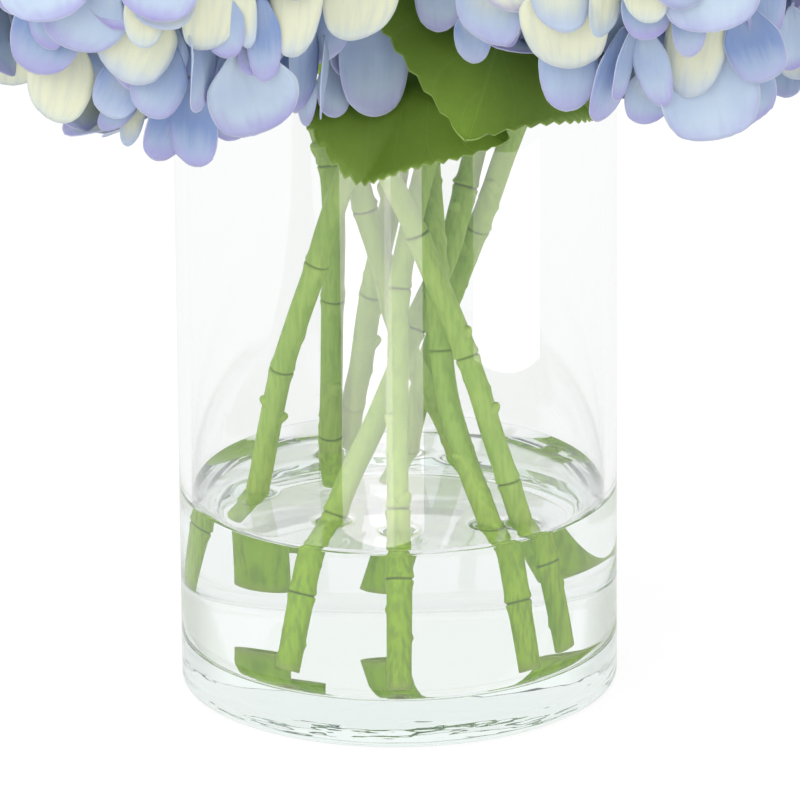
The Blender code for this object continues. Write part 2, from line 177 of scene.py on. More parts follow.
# Camera, fitted to the vase's edges, foot and resin level
CAMERA_ELEVATION = math.radians(18.8)
CAMERA_ROLL = math.radians(-0.47)
CAMERA_DISTANCE = 3.09
CAMERA_TARGET = (0.00089, 0.0, 0.1005)
CAMERA_LENS = 400.5
CAMERA_SENSOR = 36.0
CAMERA_WAY = np.array((0.0, -math.cos(CAMERA_ELEVATION), math.sin(CAMERA_ELEVATION)))
BOUNCES = 28

# Surroundings: brightness below and how much is added above, over a range of height
SKY = 0.67
SKY_RISE = 0.25
SKY_RANGE = (-0.6, 0.6)

# Soft panels of the surroundings: angles round Z from the front, heights and brightness
WINDOWS = [((-1.35, -0.25), (0.35, 0.92), 1.9), ((0.35, 1.3), (0.45, 0.92), 0.9)]
ANGLE_SOFT = 0.15
HEIGHT_SOFT = 0.08

# What is seen through the glass: shade at the sides, and the light that the glass would gather
SIDE_RANGE = (0.72, 1.5)
SIDE_SOFT = 0.12
SIDE_SHADE = 0.22
GATHERED = 1.45

# Table: brightness, and how it differs in reflections and through the glass
TABLE_GLOW = 0.9
TABLE_DIMMED = 0.12
TABLE_RAISED = 0.05
TABLE_CORNERS = [(-2.5, -4.0), (2.5, -4.0), (2.5, 2.2), (-2.5, 2.2)]
TABLE_DROP = 0.0002
TABLE_GREYS = ((0.12, 0.12, 0.12), (0.14, 0.14, 0.14))

# Clear finishes
GLASS = {"tint": (0.995, 1.0, 1.0), "ior": 1.5, "absorption": (0.80, 0.93, 0.88), "density": 3.5}
RESIN = {"tint": (1.0, 1.0, 1.0), "ior": 1.43, "absorption": (0.90, 0.97, 0.94), "density": 3.0}

# Dyes of the petals; the deep blue is also painted shade towards each petal's base and on the florets that
# lie deep in the head
PALE_BLUE = (0.70, 0.82, 0.92)
DEEP_BLUE_AND_SHADE = (0.28, 0.40, 0.69)
VIOLET = (0.44, 0.38, 0.78)
CREAM = (0.89, 0.91, 0.70)
CUT_EDGE = (0.80, 0.84, 0.92)
STREAK = (0.42, 0.50, 0.66)

# Ranges over which each dye and the deep blue's painted shade come in, and the most that streaks and the cut
# edge show
DEEP_RANGE = (0.30, 1.20)
VIOLET_RANGE = (0.78, 1.34)
CREAM_RANGE = (-0.45, 0.38)
STREAK_RANGE = (0.42, 0.72)
STREAK_SHARE = 0.16
EDGE_RANGE = (0.955, 0.99)
EDGE_SHARE = 0.5

# How far the dyes wander along the streaks, how much the rim adds, and how strongly the others act
WANDER = 0.32
RIM_PULL = 0.45
PATCH_DEPTH = 0.18
PATCH_TINGE = (0.55, 0.50)
CREAM_GAIN = 1.30
CREAM_FADE = 0.82
PETAL_GLOW = 0.22

# Greens of the stems, two in patches at each height, where the high ones come in, and grain, rings and bores;
# the first pair is painted light, a brighter green for the stems below the resin's surface
STEM_LIT_IN_RESIN = ((0.54, 0.87, 0.070), (0.46, 0.79, 0.050))
STEM_LOW = ((0.49, 0.69, 0.105), (0.41, 0.62, 0.075))
STEM_HIGH = ((0.44, 0.65, 0.14), (0.35, 0.56, 0.105))
STEM_RANGE = (0.12, 0.28)
GRAIN_RANGE = (0.40, 0.68)
STEM_GRAIN = (0.22, 0.42, 0.06)
STEM_RING = (0.13, 0.24, 0.04)
STEM_BORE = (0.50, 0.70, 0.14)

# Leaves: slant and curve of the side veins, widths of veins and midrib, shares of the patterns, and greens
VEIN_SLANT = 1.6
VEIN_CURVE = 0.85
VEIN_WIDTH = 0.075
MIDRIB_WIDTH = 0.045
VEIN_SHARE = 0.13
SIDE_VEIN_SHARE = 0.55
SPECKLE_SHARE = 0.22
LEAF_EDGE_RANGE = (0.975, 0.995)
LEAF_EDGE_SHARE = 0.8
LEAF_GLOW = 0.16
LEAF_TOP = {"deep": (0.165, 0.28, 0.030), "bright": (0.25, 0.42, 0.046), "vein": (0.38, 0.54, 0.14)}
LEAF_UNDER = {"deep": (0.13, 0.22, 0.06), "bright": (0.18, 0.29, 0.09), "vein": (0.30, 0.40, 0.18)}

# Scales of the patterns: woven threads, and ripples, streaks and grain stretched along X, Y and Z
WEAVE_SCALE = 1100.0
FOOT_STRETCH = (34.0, 34.0, 300.0)
STREAK_STRETCH = (5.0, 0.9, 60.0)
GRAIN_STRETCH = (700.0, 700.0, 110.0)

# Low panels: name, place, what it faces, width, height, brightness
PANELS = [
    ("sheen_front", (-0.033, -0.276, 0.081), (-0.008, -0.076, 0.081), 0.186, 0.160, 5.4),
    ("sheen_line", (-0.018, -0.276, 0.081), (-0.003, -0.076, 0.081), 0.015, 0.160, 3.0),
    ("sheen_right", (0.250, -0.190, 0.092), (0.035, -0.065, 0.092), 0.200, 0.085, 3.0),
]

# Middle of each flower head
HEADS = {
    "front_left": (-0.072, -0.086, 0.296),
    "front_right": (0.080, -0.086, 0.302),
    "left": (-0.139, -0.002, 0.302),
    "right": (0.158, 0.008, 0.298),
    "back_left": (-0.082, 0.100, 0.302),
    "back_right": (0.079, 0.102, 0.304),
    "top_left": (-0.064, 0.032, 0.362),
    "top_right": (0.064, 0.036, 0.364),
    "top_front": (0.003, -0.054, 0.366),
}

# Route of each stem from its cut end in the resin; the last point only aims it at its flower head
STEMS = {
    "front_left": [
        (0.051, -0.032, 0.022), (0.042, -0.033, 0.068), (0.035, -0.031, 0.089), (0.028, -0.028, 0.113),
        (0.020, -0.024, 0.136), (0.009, -0.022, 0.163), (0.002, -0.022, 0.180), (-0.020, -0.034, 0.229),
        (-0.042, -0.059, 0.258),
    ],
    "front_right": [
        (-0.058, 0.001, 0.034), (-0.048, 0.000, 0.073), (-0.040, -0.004, 0.114), (-0.028, -0.009, 0.151),
        (-0.020, -0.012, 0.178), (-0.011, -0.013, 0.198), (0.012, -0.023, 0.229), (0.044, -0.054, 0.260),
    ],
    "left": [
        (0.028, 0.042, 0.030), (0.019, 0.034, 0.077), (0.011, 0.024, 0.095), (0.001, 0.015, 0.121),
        (-0.004, 0.006, 0.145), (-0.011, 0.000, 0.171), (-0.018, -0.003, 0.195), (-0.042, -0.010, 0.229),
        (-0.082, -0.003, 0.256),
    ],
    "right": [
        (-0.003, 0.046, 0.028), (0.004, 0.042, 0.072), (0.009, 0.037, 0.095), (0.015, 0.030, 0.117),
        (0.022, 0.024, 0.138), (0.034, 0.016, 0.173), (0.042, 0.010, 0.197), (0.058, 0.004, 0.229),
        (0.102, 0.006, 0.264),
    ],
    "back_left": [
        (-0.023, 0.044, 0.027), (-0.024, 0.041, 0.072), (-0.023, 0.034, 0.112), (-0.022, 0.028, 0.150),
        (-0.024, 0.025, 0.184), (-0.040, 0.036, 0.229), (-0.062, 0.066, 0.265),
    ],
    "back_right": [
        (-0.034, -0.040, 0.019), (-0.022, -0.029, 0.069), (-0.004, -0.012, 0.105), (0.010, 0.002, 0.137),
        (0.018, 0.009, 0.152), (0.025, 0.017, 0.175), (0.040, 0.036, 0.229), (0.057, 0.068, 0.266),
    ],
    "top_left": [
        (0.041, -0.045, 0.019), (0.031, -0.035, 0.069), (0.022, -0.024, 0.090), (0.017, -0.018, 0.109),
        (0.015, -0.013, 0.129), (0.0135, -0.006, 0.151), (0.012, 0.006, 0.175), (0.008, 0.024, 0.205),
        (-0.008, 0.036, 0.235), (-0.026, 0.032, 0.290),
    ],
    "top_right": [
        (0.000, -0.058, 0.017), (0.000, -0.040, 0.069), (0.000, -0.024, 0.108), (0.001, -0.011, 0.143),
        (0.004, -0.007, 0.160), (0.008, -0.004, 0.178), (0.022, 0.008, 0.229), (0.042, 0.022, 0.295),
    ],
    "top_front": [
        (-0.016, 0.054, 0.040), (-0.017, 0.050, 0.073), (-0.013, 0.037, 0.101), (-0.009, 0.025, 0.130),
        (-0.004, 0.017, 0.157), (0.001, 0.011, 0.184), (0.003, 0.001, 0.229), (0.001, -0.018, 0.290),
    ],
}

# Side buds: share of the way up the stem, and the way each one points
BUDS = {
    "front_left": [(0.34, (1.0, -0.2, 0.5)), (0.45, (0.9, -0.6, 0.6))],
    "front_right": [(0.26, (-1.0, -0.3, 0.6)), (0.24, (1.0, -0.2, 0.3))],
    "left": [(0.30, (-0.9, -0.4, 0.5)), (0.63, (0.3, -0.5, 1.0))],
    "right": [(0.47, (-0.9, -0.5, 0.4)), (0.57, (-0.3, -1.0, 0.3))],
    "back_left": [(0.27, (0.6, -0.9, 0.4)), (0.64, (-0.8, -0.4, 0.9))],
    "back_right": [(0.40, (-0.9, -0.3, 0.4)), (0.60, (-0.6, -0.9, 0.9))],
    "top_left": [(0.24, (-0.9, -0.6, 0.4)), (0.37, (0.9, -0.5, 0.3))],
    "top_right": [(0.21, (0.8, -0.7, 0.4)), (0.30, (-0.8, -0.7, 0.3))],
    "top_front": [(0.27, (0.9, -0.3, 0.5)), (0.50, (-0.9, -0.4, 1.0))],
}

# Joint rings: share of the way up each stem
RINGS = {
    "front_left": (0.13, 0.24, 0.42, 0.60, 0.78),
    "front_right": (0.09, 0.31, 0.47, 0.66, 0.82),
    "left": (0.11, 0.33, 0.55, 0.72, 0.88),
    "right": (0.15, 0.37, 0.50, 0.70, 0.86),
    "back_left": (0.19, 0.41, 0.62, 0.83),
    "back_right": (0.10, 0.19, 0.44, 0.63, 0.81),
    "top_left": (0.08, 0.15, 0.36, 0.58, 0.77),
    "top_right": (0.13, 0.20, 0.45, 0.68, 0.85),
    "top_front": (0.16, 0.35, 0.57, 0.79),
}

# Leaves: stem, share of the way up it, bend, tip, widest half width, how far each half drops in degrees, and
# the share of bare stalk
LEAVES = {
    "front_right": ("front_right", 0.868, (0.052, -0.056, 0.297), (0.0235, -0.124, 0.232),
        0.058, (60, -14), 0.27),
    "front_left": ("front_left", 0.865, (-0.003, -0.093, 0.250), (0.037, -0.095, 0.223),
        0.039, (-4, 50), 0.18),
    "back": ("top_left", 0.762, (-0.008, 0.080, 0.252), (-0.006, 0.114, 0.212),
        0.040, (8, 14), 0.18),
    "back_right": ("back_right", 0.885, (0.088, 0.054, 0.254), (0.122, 0.062, 0.220),
        0.036, (14, 8), 0.18),
    "left": ("left", 0.898, (-0.098, 0.040, 0.246), (-0.126, 0.064, 0.212),
        0.036, (10, 12), 0.18),
}

# Petals placed one by one where the front shows them: base (x, y, z) and tip (x, y, z) from the middle of the
# head and half width in millimetres, roll about its length in degrees, share of cream, share of violet
PLACED = {
    "front_left": [
        (-43, -61, 8, -37, -70, -10, 16, 0, 0.1, 0.7), (-2, -74, 13, -6, -79, -8, 14, 0, 0, 0.9),
        (-20, -69, 3, -35, -65, -22, 14, 0, 0, 0.6), (1, -72, 6, -5, -76, -13, 10, 0, 0.6, 0.2),
        (-7, -72, 3, -10, -74, -19, 7, 10, 0.75, 0), (-7, -70, -2, -17, -65, -33, 14, 0, 0.7, 0.2),
        (-4, -64, -8, -13, -59, -39, 14, 0, 0.1, 0.8), (0, -63, -21, -9, -58, -48, 9, 0, 0, 0.7),
        (-36, -57, -2, -45, -52, -35, 12, 0, 0, 0.8), (-40, -59, 0, -43, -58, -25, 7, -20, 0, 0.8),
        (-33, -49, -20, -41, -44, -53, 11, 0, 0.9, 0), (-11, -56, -26, -23, -52, -50, 8, 0, 0.2, 0.3),
        (-13, -45, -40, -23, -41, -58, 5, 15, 0, 0.9), (-12, -41, -42, -16, -38, -64, 4, 0, 0.6, 0.1),
        (3, -50, -36, -5, -45, -68, 8, 30, 0, 0.8), (8, -53, -34, 4, -48, -70, 8, -30, 0, 0.7),
        (14, -69, 5, 12, -72, -22, 9, 15, 0.8, 0.1), (37, -55, -17, 23, -64, -30, 7, 0, 0, 1),
        (16, -67, -2, 17, -68, -25, 7, 0, 0, 0.8), (29, -65, -5, 30, -61, -34, 6, 0, 0, 0.9),
        (23, -60, -22, 28, -55, -56, 15, -5, 0, 0.7), (18, -36, -46, 18, -33, -65, 6, 0, 0.1, 0.9),
        (41, -51, -14, 44, -46, -49, 7, 40, 0, 0.9), (41, -33, -37, 45, -29, -60, 4, 20, 0.1, 0.8),
        (64, -5, -23, 65, -7, -63, 13, 0, 0, 0.7), (52, -2, -43, 52, -9, -64, 6, 0, 0, 0.6),
        (42, -59, 8, 39, -63, -25, 9, 0, 0.8, 0.1), (63, -41, 6, 59, -48, -25, 13, 0, 0.85, 0),
        (6, -69, -15, 12, -65, -42, 6, 65, 0, 0.8), (49, -44, -25, 52, -40, -53, 5, 68, 0, 0.7),
        (23, -66, 4, 24, -67, -22, 4, 0, 0.6, 0.1), (-48, -51, 10, -53, -53, -13, 10, 0, 0, 0.9),
        (48, -36, -11, 49, -32, -38, 11, 0, 0, 0.6), (57, 0, -24, 58, -8, -49, 10, 0, 0, 0.5),
        (10, -57, -17, 13, -54, -36, 10, 0, 0, 1), (39, -39, -25, 40, -35, -51, 8, 0, 0, 0.9),
        (-35, -45, -26, -36, -42, -44, 6, 0, 0.9, 0),
    ],
    "front_right": [
        (-65, -21, -10, -65, -18, -37, 9, 0, 0, 0.9), (-45, -56, -3, -51, -51, -31, 12, 0, 0.3, 0.6),
        (-53, -34, -22, -55, -30, -45, 6, 20, 0.2, 0.4), (-41, -48, -18, -45, -45, -35, 5, 0, 0, 1),
        (-26, -69, -1, -24, -66, -36, 15, 0, 0.85, 0.1), (-26, -71, 5, -27, -73, -22, 10, 0, 0.5, 0.2),
        (-12, -74, 1, -10, -76, -23, 5, 45, 0.6, 0), (2, -75, 6, 1, -78, -17, 8, 0, 0.85, 0),
        (-24, -60, -22, -23, -55, -54, 10, 0, 0.1, 0.6), (-5, -63, -23, -11, -58, -57, 6, 35, 0, 0.8),
        (-2, -67, -22, -8, -62, -48, 3, 60, 0, 0.9), (1, -65, -21, 6, -60, -51, 6, -20, 0, 0.8),
        (0, -71, -2, 3, -72, -25, 8, 0, 0, 0.9), (5, -51, -38, 2, -48, -61, 8, 0, 0.2, 0.7),
        (21, -63, -11, 16, -57, -47, 11, 0, 0.7, 0.1), (19, -55, -30, 26, -54, -65, 16, 0, 0, 0.5),
        (31, -45, -37, 39, -40, -65, 10, 0, 0, 0.8), (32, -61, -15, 42, -56, -44, 9, -20, 0, 0.6),
        (21, -73, 7, 24, -74, -22, 16, 0, 0, 0.5), (40, -61, 2, 44, -56, -31, 8, 25, 0, 1),
        (15, -70, -9, 16, -69, -31, 6, 0, 0, 0.8), (50, -38, -24, 53, -35, -47, 7, 0, 0, 0.9),
        (7, -55, -17, 8, -51, -40, 11, 0, 0, 0.7), (-7, -61, -12, -4, -57, -36, 10, 0, 0, 0.8),
    ],
    "left": [
        (9, -56, -39, 9, -52, -71, 12, 0, 0.9, 0), (1, -67, -25, 5, -63, -58, 12, 0, 0, 0.8),
        (15, -66, -22, 13, -60, -59, 9, 0, 0, 0.7),
    ],
    "right": [
        (-20, -58, -36, -21, -54, -63, 10, 0, 0, 0.8), (-23, -17, -62, -26, -24, -84, 7, 0, 0.2, 0.5),
        (-20, -33, -52, -20, -30, -76, 8, 0, 0.7, 0.3),
    ],
}

# Directions in which a head has no outer floret, so that a leaf or the next head shows
GAPS = {
    "front_left": [(-0.78, -0.01, -0.63)],
    "front_right": [(-0.28, -0.34, -0.90), (0.71, 0.0, -0.71)],
}
GAP_ANGLE = math.radians(12)

# Deeper florets that close a head behind its placed petals: degrees round from the front and degrees up
RING = {
    "front_left": [(-72, 6), (-44, 9), (-16, 9), (12, 9), (40, 16)],
    "front_right": [(-40, 9), (-12, 9), (16, 9), (44, 9), (72, 6)],
    "left": [(-30, -10), (6, -10)],
    "right": [(-14, -10), (22, -10)],
}
# How far out the deeper florets lie, and the deeper blue painted on them as shade
RING_SHARE = 0.90
RING_PAINTED_SHADE = 0.25


def unit(vectors):
    """Vectors divided by their own lengths."""
    return vectors / np.linalg.norm(vectors, axis=-1, keepdims=True)


def ease(value, low, high):
    """Cubic step: 0 below low, 1 above high, and 3 s^2 - 2 s^3 of the share s between."""
    share = np.clip((value - low) / (high - low), 0.0, 1.0)
    return share * share * (3.0 - 2.0 * share)


def bell(value, width):
    """Bell curve e^-(value / width)^2."""
    return np.exp(-(value / width) ** 2)


def even_angles(count):
    """Angles at even steps round a circle, from 0."""
    return np.linspace(0.0, 2 * math.pi, count, endpoint=False)


def circle(count):
    """Points (cos a, sin a) at even angles a."""
    angles = even_angles(count)
    return np.stack((np.cos(angles), np.sin(angles)), axis=-1)


def arc(centre, radius, start, end, steps):
    """Points of an arc in the (radius, height) plane, with angles in degrees."""
    angles = np.radians(np.linspace(start, end, steps + 1))
    return np.column_stack((centre[0] + radius * np.cos(angles), centre[1] + radius * np.sin(angles)))


def bent(t, start, bend, end):
    """Quadratic curve (1-t)^2 start + 2t(1-t) bend + t^2 end."""
    return (1 - t) ** 2 * start + 2 * t * (1 - t) * bend + t ** 2 * end


def dense_curve(points):
    """Catmull-Rom curve through the points, in 24 steps from each to the next."""
    given = np.array(points, float)
    ends = np.vstack((2 * given[0] - given[1], given, 2 * given[-1] - given[-2]))
    t = np.linspace(0.0, 1.0, 24, endpoint=False)[:, None]
    a, b, c, d = (ends[k:len(ends) - 3 + k, None] for k in range(4))
    cubic = (3 * b - a - 3 * c + d) * t ** 3 + (2 * a - 5 * b + 4 * c - d) * t ** 2
    dense = (0.5 * (cubic + (c - a) * t + 2 * b)).reshape(-1, 3)
    return np.vstack((dense, given[-1]))


def along_route(points, stations):
    """Curve through the points, read at even steps of its length or at given distances, and its length."""
    dense = dense_curve(points)
    length = np.concatenate(([0.0], np.cumsum(np.linalg.norm(np.diff(dense, axis=0), axis=1))))
    at = np.linspace(0.0, length[-1], stations) if np.ndim(stations) == 0 else stations
    return np.column_stack([np.interp(at, length, dense[:, k]) for k in range(3)]), length[-1]


def stem_axis(name):
    """Unit vector from the middle of a flower head towards its stem."""
    return unit(np.array(STEMS[name][-1]) - np.array(HEADS[name]))


def stem_route(name):
    """The stem's middle line at even stations, ending in its seat under the flower head."""
    seat = np.array(HEADS[name]) + stem_axis(name) * (NECK_DROP + GAP)
    route = along_route(list(STEMS[name][:-1]) + [tuple(seat)], STEM_STATIONS)[0]
    route[-2] = route[-1] + stem_axis(name) * np.linalg.norm(route[-1] - route[-2])
    return route


def stem_place(name, share):
    """The point at a share of the way up a stem, and the stem's unit run there."""
    route = stem_route(name)
    at = share * (STEM_STATIONS - 1)
    low = int(at)
    step = route[low + 1] - route[low]
    return route[low] + step * (at - low), unit(step)


# Surfaces


def grid_faces(rows, columns, copies=1, around=False):
    """Quads of a grid of points, row by row; with around set, the last column joins the first."""
    spans = columns if around else columns - 1
    row, column = np.meshgrid(np.arange(rows - 1), np.arange(spans), indexing="ij")
    start = row * columns + column
    beside = row * columns + (column + 1) % columns
    quads = np.stack((start, beside, beside + columns, start + columns), axis=-1).reshape(-1, 4)
    return (quads[None] + np.arange(copies)[:, None, None] * rows * columns).reshape(-1, 4)


def closed_rings(rings, start, end):
    """Points and faces of a body round its rings, closed at each end by one more point."""
    rows, sides = rings.shape[:2]
    points = np.vstack((rings.reshape(-1, 3), [start], [end]))
    first = np.arange(sides)
    after = (first + 1) % sides
    last = (rows - 1) * sides
    ends = np.full(sides, rows * sides)
    faces = grid_faces(rows, sides, around=True).tolist()
    faces += np.column_stack((ends, after, first)).tolist()
    faces += np.column_stack((ends + 1, last + first, last + after)).tolist()
    return points, faces


def turned(profile, sides):
    """Rings of a profile turned about Z: (r cos a, r sin a, z) for each (r, z) of it and each angle a."""
    level = profile[:, None, :1] * circle(sides)
    return np.concatenate((level, np.broadcast_to(profile[:, None, 1:], (len(profile), sides, 1))), axis=-1)


def sweep_frames(route):
    """Unit run, side and up vectors along a route; the side is carried along, so that a tube never twists."""
    run = unit(np.gradient(route, axis=0))
    side = np.zeros_like(run)
    side[0] = unit(np.cross(run[0], (0.0, 1.0, 0.0)))
    for i in range(1, len(run)):
        side[i] = unit(side[i - 1] - run[i] * (side[i - 1] @ run[i]))
    return run, side, np.cross(run, side)


def tube(route, radii, sides):
    """Rings of a tube: each station's circle of its radius or radii, in the plane across the route."""
    _, side, up = sweep_frames(route)
    turn = circle(sides)
    radii = np.broadcast_to(radii, (len(route), sides))[..., None]
    return route[:, None] + (side[:, None] * turn[:, :1] + up[:, None] * turn[:, 1:]) * radii


def join(parts):
    """Several (points, faces, marks) as one."""
    points, faces, marks, start = [], [], [], 0
    for flat, own_faces, mark in parts:
        points.append(flat)
        faces += [[i + start for i in face] for face in own_faces]
        marks.append(np.broadcast_to(mark, flat.shape))
        start += len(flat)
    return np.vstack(points), faces, np.vstack(marks)


def make_piece(name, points, faces, materials, marks=None):
    """One object of the arrangement from its points and faces, with its marks as point attributes."""
    mesh = bpy.data.meshes.new(name)
    mesh.from_pydata(np.asarray(points, float).reshape(-1, 3).tolist(), [], [list(face) for face in faces])
    for title, values in (marks or {}).items():
        layer = mesh.attributes.new(title, "FLOAT_VECTOR", "POINT")
        layer.data.foreach_set("vector", np.asarray(values, np.float32).ravel())
    for material in materials:
        mesh.materials.append(material)
    mesh.shade_smooth()
    piece = bpy.data.objects.new(name, mesh)
    bpy.context.scene.collection.objects.link(piece)
    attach(piece, "root")
    return piece


def add_wall(piece, thickness, under=0):
    """Give a sheet its thickness, half to each side of the surface."""
    wall = piece.modifiers.new("thickness", "SOLIDIFY")
    wall.thickness = thickness
    wall.offset = 0.0
    wall.material_offset = under


# Nodes


def fill(node, inputs):
    """Put a field, a colour or a plain value into inputs of a node, each given by its name or number."""
    for key, value in inputs.items():
        socket = node.inputs[key]
        if isinstance(value, Field):
            value.tree.links.new(value.socket, socket)
        elif socket.type == "RGBA":
            socket.default_value = (*value, 1.0)
        else:
            socket.default_value = value


def add_node(tree, kind, inputs=None, **settings):
    """A new node with its settings and inputs."""
    node = tree.nodes.new(kind)
    for key, value in settings.items():
        setattr(node, key, value)
    fill(node, inputs or {})
    return node


def field(tree, kind, inputs=None, output=0, **settings):
    """One output of a new node, by its name or number."""
    return Field(add_node(tree, kind, inputs, **settings).outputs[output])


def reckon(operation, *values):
    """A Math node on one or two values, each a number or a field."""
    tree = next(value.tree for value in values if isinstance(value, Field))
    return field(tree, "ShaderNodeMath", dict(enumerate(values)), operation=operation)


class Field:
    """What a node puts out over a surface; reckoning with it adds nodes to its tree."""

    def __init__(self, socket):
        self.socket = socket
        self.tree = socket.id_data

    def __add__(self, other):
        return reckon("ADD", self, other)

    def __sub__(self, other):
        return reckon("SUBTRACT", self, other)

    def __rsub__(self, other):
        return reckon("SUBTRACT", other, self)

    def __mul__(self, other):
        return reckon("MULTIPLY", self, other)

    def __pow__(self, power):
        return reckon("POWER", self, power)

    def __abs__(self):
        return reckon("ABSOLUTE", self)

    def peak(self, other):
        """The larger of two fields."""
        return reckon("MAXIMUM", self, other)

    def step(self, low, high, top=1.0):
        """Smooth step from 0 at low to top at high."""
        inputs = {"Value": self, "From Min": low, "From Max": high, "To Max": top}
        return field(self.tree, "ShaderNodeMapRange", inputs, interpolation_type="SMOOTHSTEP")

    def window(self, low, high, soft):
        """1 between low and high, easing to 0 over the soft width at both ends."""
        return self.step(low - soft, low + soft) * (1.0 - self.step(high - soft, high + soft))

    def dye(self, first, second):
        """Colour between two, with this field as the share of the second."""
        return field(self.tree, "ShaderNodeMix", {0: self, 6: first, 7: second}, 2, data_type="RGBA")

    def choose(self, first, second):
        """Number between two, with this field as the share of the second."""
        return field(self.tree, "ShaderNodeMix", {0: self, 2: first, 3: second}, data_type="FLOAT")

    def parts(self):
        """The three numbers of a vector."""
        return [Field(socket) for socket in add_node(self.tree, "ShaderNodeSeparateXYZ", {0: self}).outputs]

    def noise(self, stretch, detail):
        """Noise at a place whose three parts are stretched first."""
        place = field(self.tree, "ShaderNodeMapping", {"Vector": self, "Scale": stretch})
        inputs = {"Vector": place, "Scale": 1.0, "Detail": detail}
        return field(self.tree, "ShaderNodeTexNoise", inputs, "Fac")


def coordinate(tree, title="Object"):
    """Place of the shaded point, in the object's own coordinates unless others are named."""
    return field(tree, "ShaderNodeTexCoord", output=title)


def marks_of(tree, title):
    """The vector that a piece carries at each point under this name."""
    return field(tree, "ShaderNodeAttribute", output="Vector", attribute_name=title)


def use_group(tree, group, **values):
    """What a node group puts out on Object coordinates with these values."""
    return field(tree, "ShaderNodeGroup", {"Place": coordinate(tree), **values}, node_tree=group)


def new_group(name, inputs, output):
    """A node group with a place, number inputs and one number output: the group, its fields and its end."""
    group = bpy.data.node_groups.new(name, "ShaderNodeTree")
    group.interface.new_socket("Place", in_out="INPUT", socket_type="NodeSocketVector")
    for title, value in inputs.items():
        socket = group.interface.new_socket(title, in_out="INPUT", socket_type="NodeSocketFloat")
        socket.default_value = value
    group.interface.new_socket(output, in_out="OUTPUT", socket_type="NodeSocketFloat")
    given = add_node(group, "NodeGroupInput")
    fields = {title: Field(given.outputs[title]) for title in ("Place", *inputs)}
    return group, fields, add_node(group, "NodeGroupOutput")


def cloth_weave_group():
    """Height of woven cloth: the sum of three distorted sine waves, one along each axis."""
    group, given, out = new_group("cloth_weave", {"Scale": 1.0}, "Height")
    inputs = {"Vector": given["Place"], "Scale": given["Scale"], "Distortion": 1.5, "Detail Scale": 2.0}
    x, y, z = (field(group, "ShaderNodeTexWave", inputs, "Fac", bands_direction=axis) for axis in "XYZ")
    fill(out, {"Height": x + y + z})
    return group


def mottle_group():
    """Soft uneven patches between 0 and 1: noise drawn through a smooth step about its middle."""
    group, given, out = new_group("mottle", {"Scale": 40.0, "Spread": 0.2}, "Mask")
    inputs = {"Vector": given["Place"], "Scale": given["Scale"], "Detail": 3.0}
    noise = field(group, "ShaderNodeTexNoise", inputs, "Fac")
    fill(out, {"Mask": noise.step(0.5 - given["Spread"], given["Spread"] + 0.5)})
    return group


# Finishes


def new_finish(name):
    """A material, its tree and its Principled shader."""
    material = bpy.data.materials.new(name)
    material.use_nodes = True
    return material, material.node_tree, material.node_tree.nodes["Principled BSDF"]


def add_bump(tree, shader, height, distance, strength=1.0):
    """Bump from a height, into the shader's normal."""
    normal = field(tree, "ShaderNodeBump", {"Height": height, "Distance": distance, "Strength": strength})
    fill(shader, {"Normal": normal})
    return normal


def let_light_through(tree, shader, color, normal, share):
    """Give thin cloth a share of light that comes through from behind."""
    glow = field(tree, "ShaderNodeBsdfTranslucent", {"Color": color, "Normal": normal})
    blend = field(tree, "ShaderNodeMixShader", {"Fac": share, 1: Field(shader.outputs[0]), 2: glow})
    fill(tree.nodes["Material Output"], {"Surface": blend})


def clear_finish(name, tint, ior, absorption, density):
    """Clear glass or resin: full transmission, and a faint tint through its thickness."""
    material, tree, shader = new_finish(name)
    fill(shader, {"Base Color": tint, "Roughness": 0.0, "IOR": ior, "Metallic": 0.0,
                  "Transmission Weight": 1.0})
    volume = field(tree, "ShaderNodeVolumeAbsorption", {"Color": absorption, "Density": density})
    fill(tree.nodes["Material Output"], {"Volume": volume})
    return material


def ripple_foot(glass):
    """Faint level ripples of moulded glass at the vase's foot, fading out above its base."""
    tree = glass.node_tree
    place = coordinate(tree)
    low = 1.0 - place.parts()[2].step(RIPPLE_FADE, BASE)
    swing = place.noise(FOOT_STRETCH, 2.0) - 0.5
    add_bump(tree, tree.nodes["Principled BSDF"], swing * low, FOOT_RIPPLE)


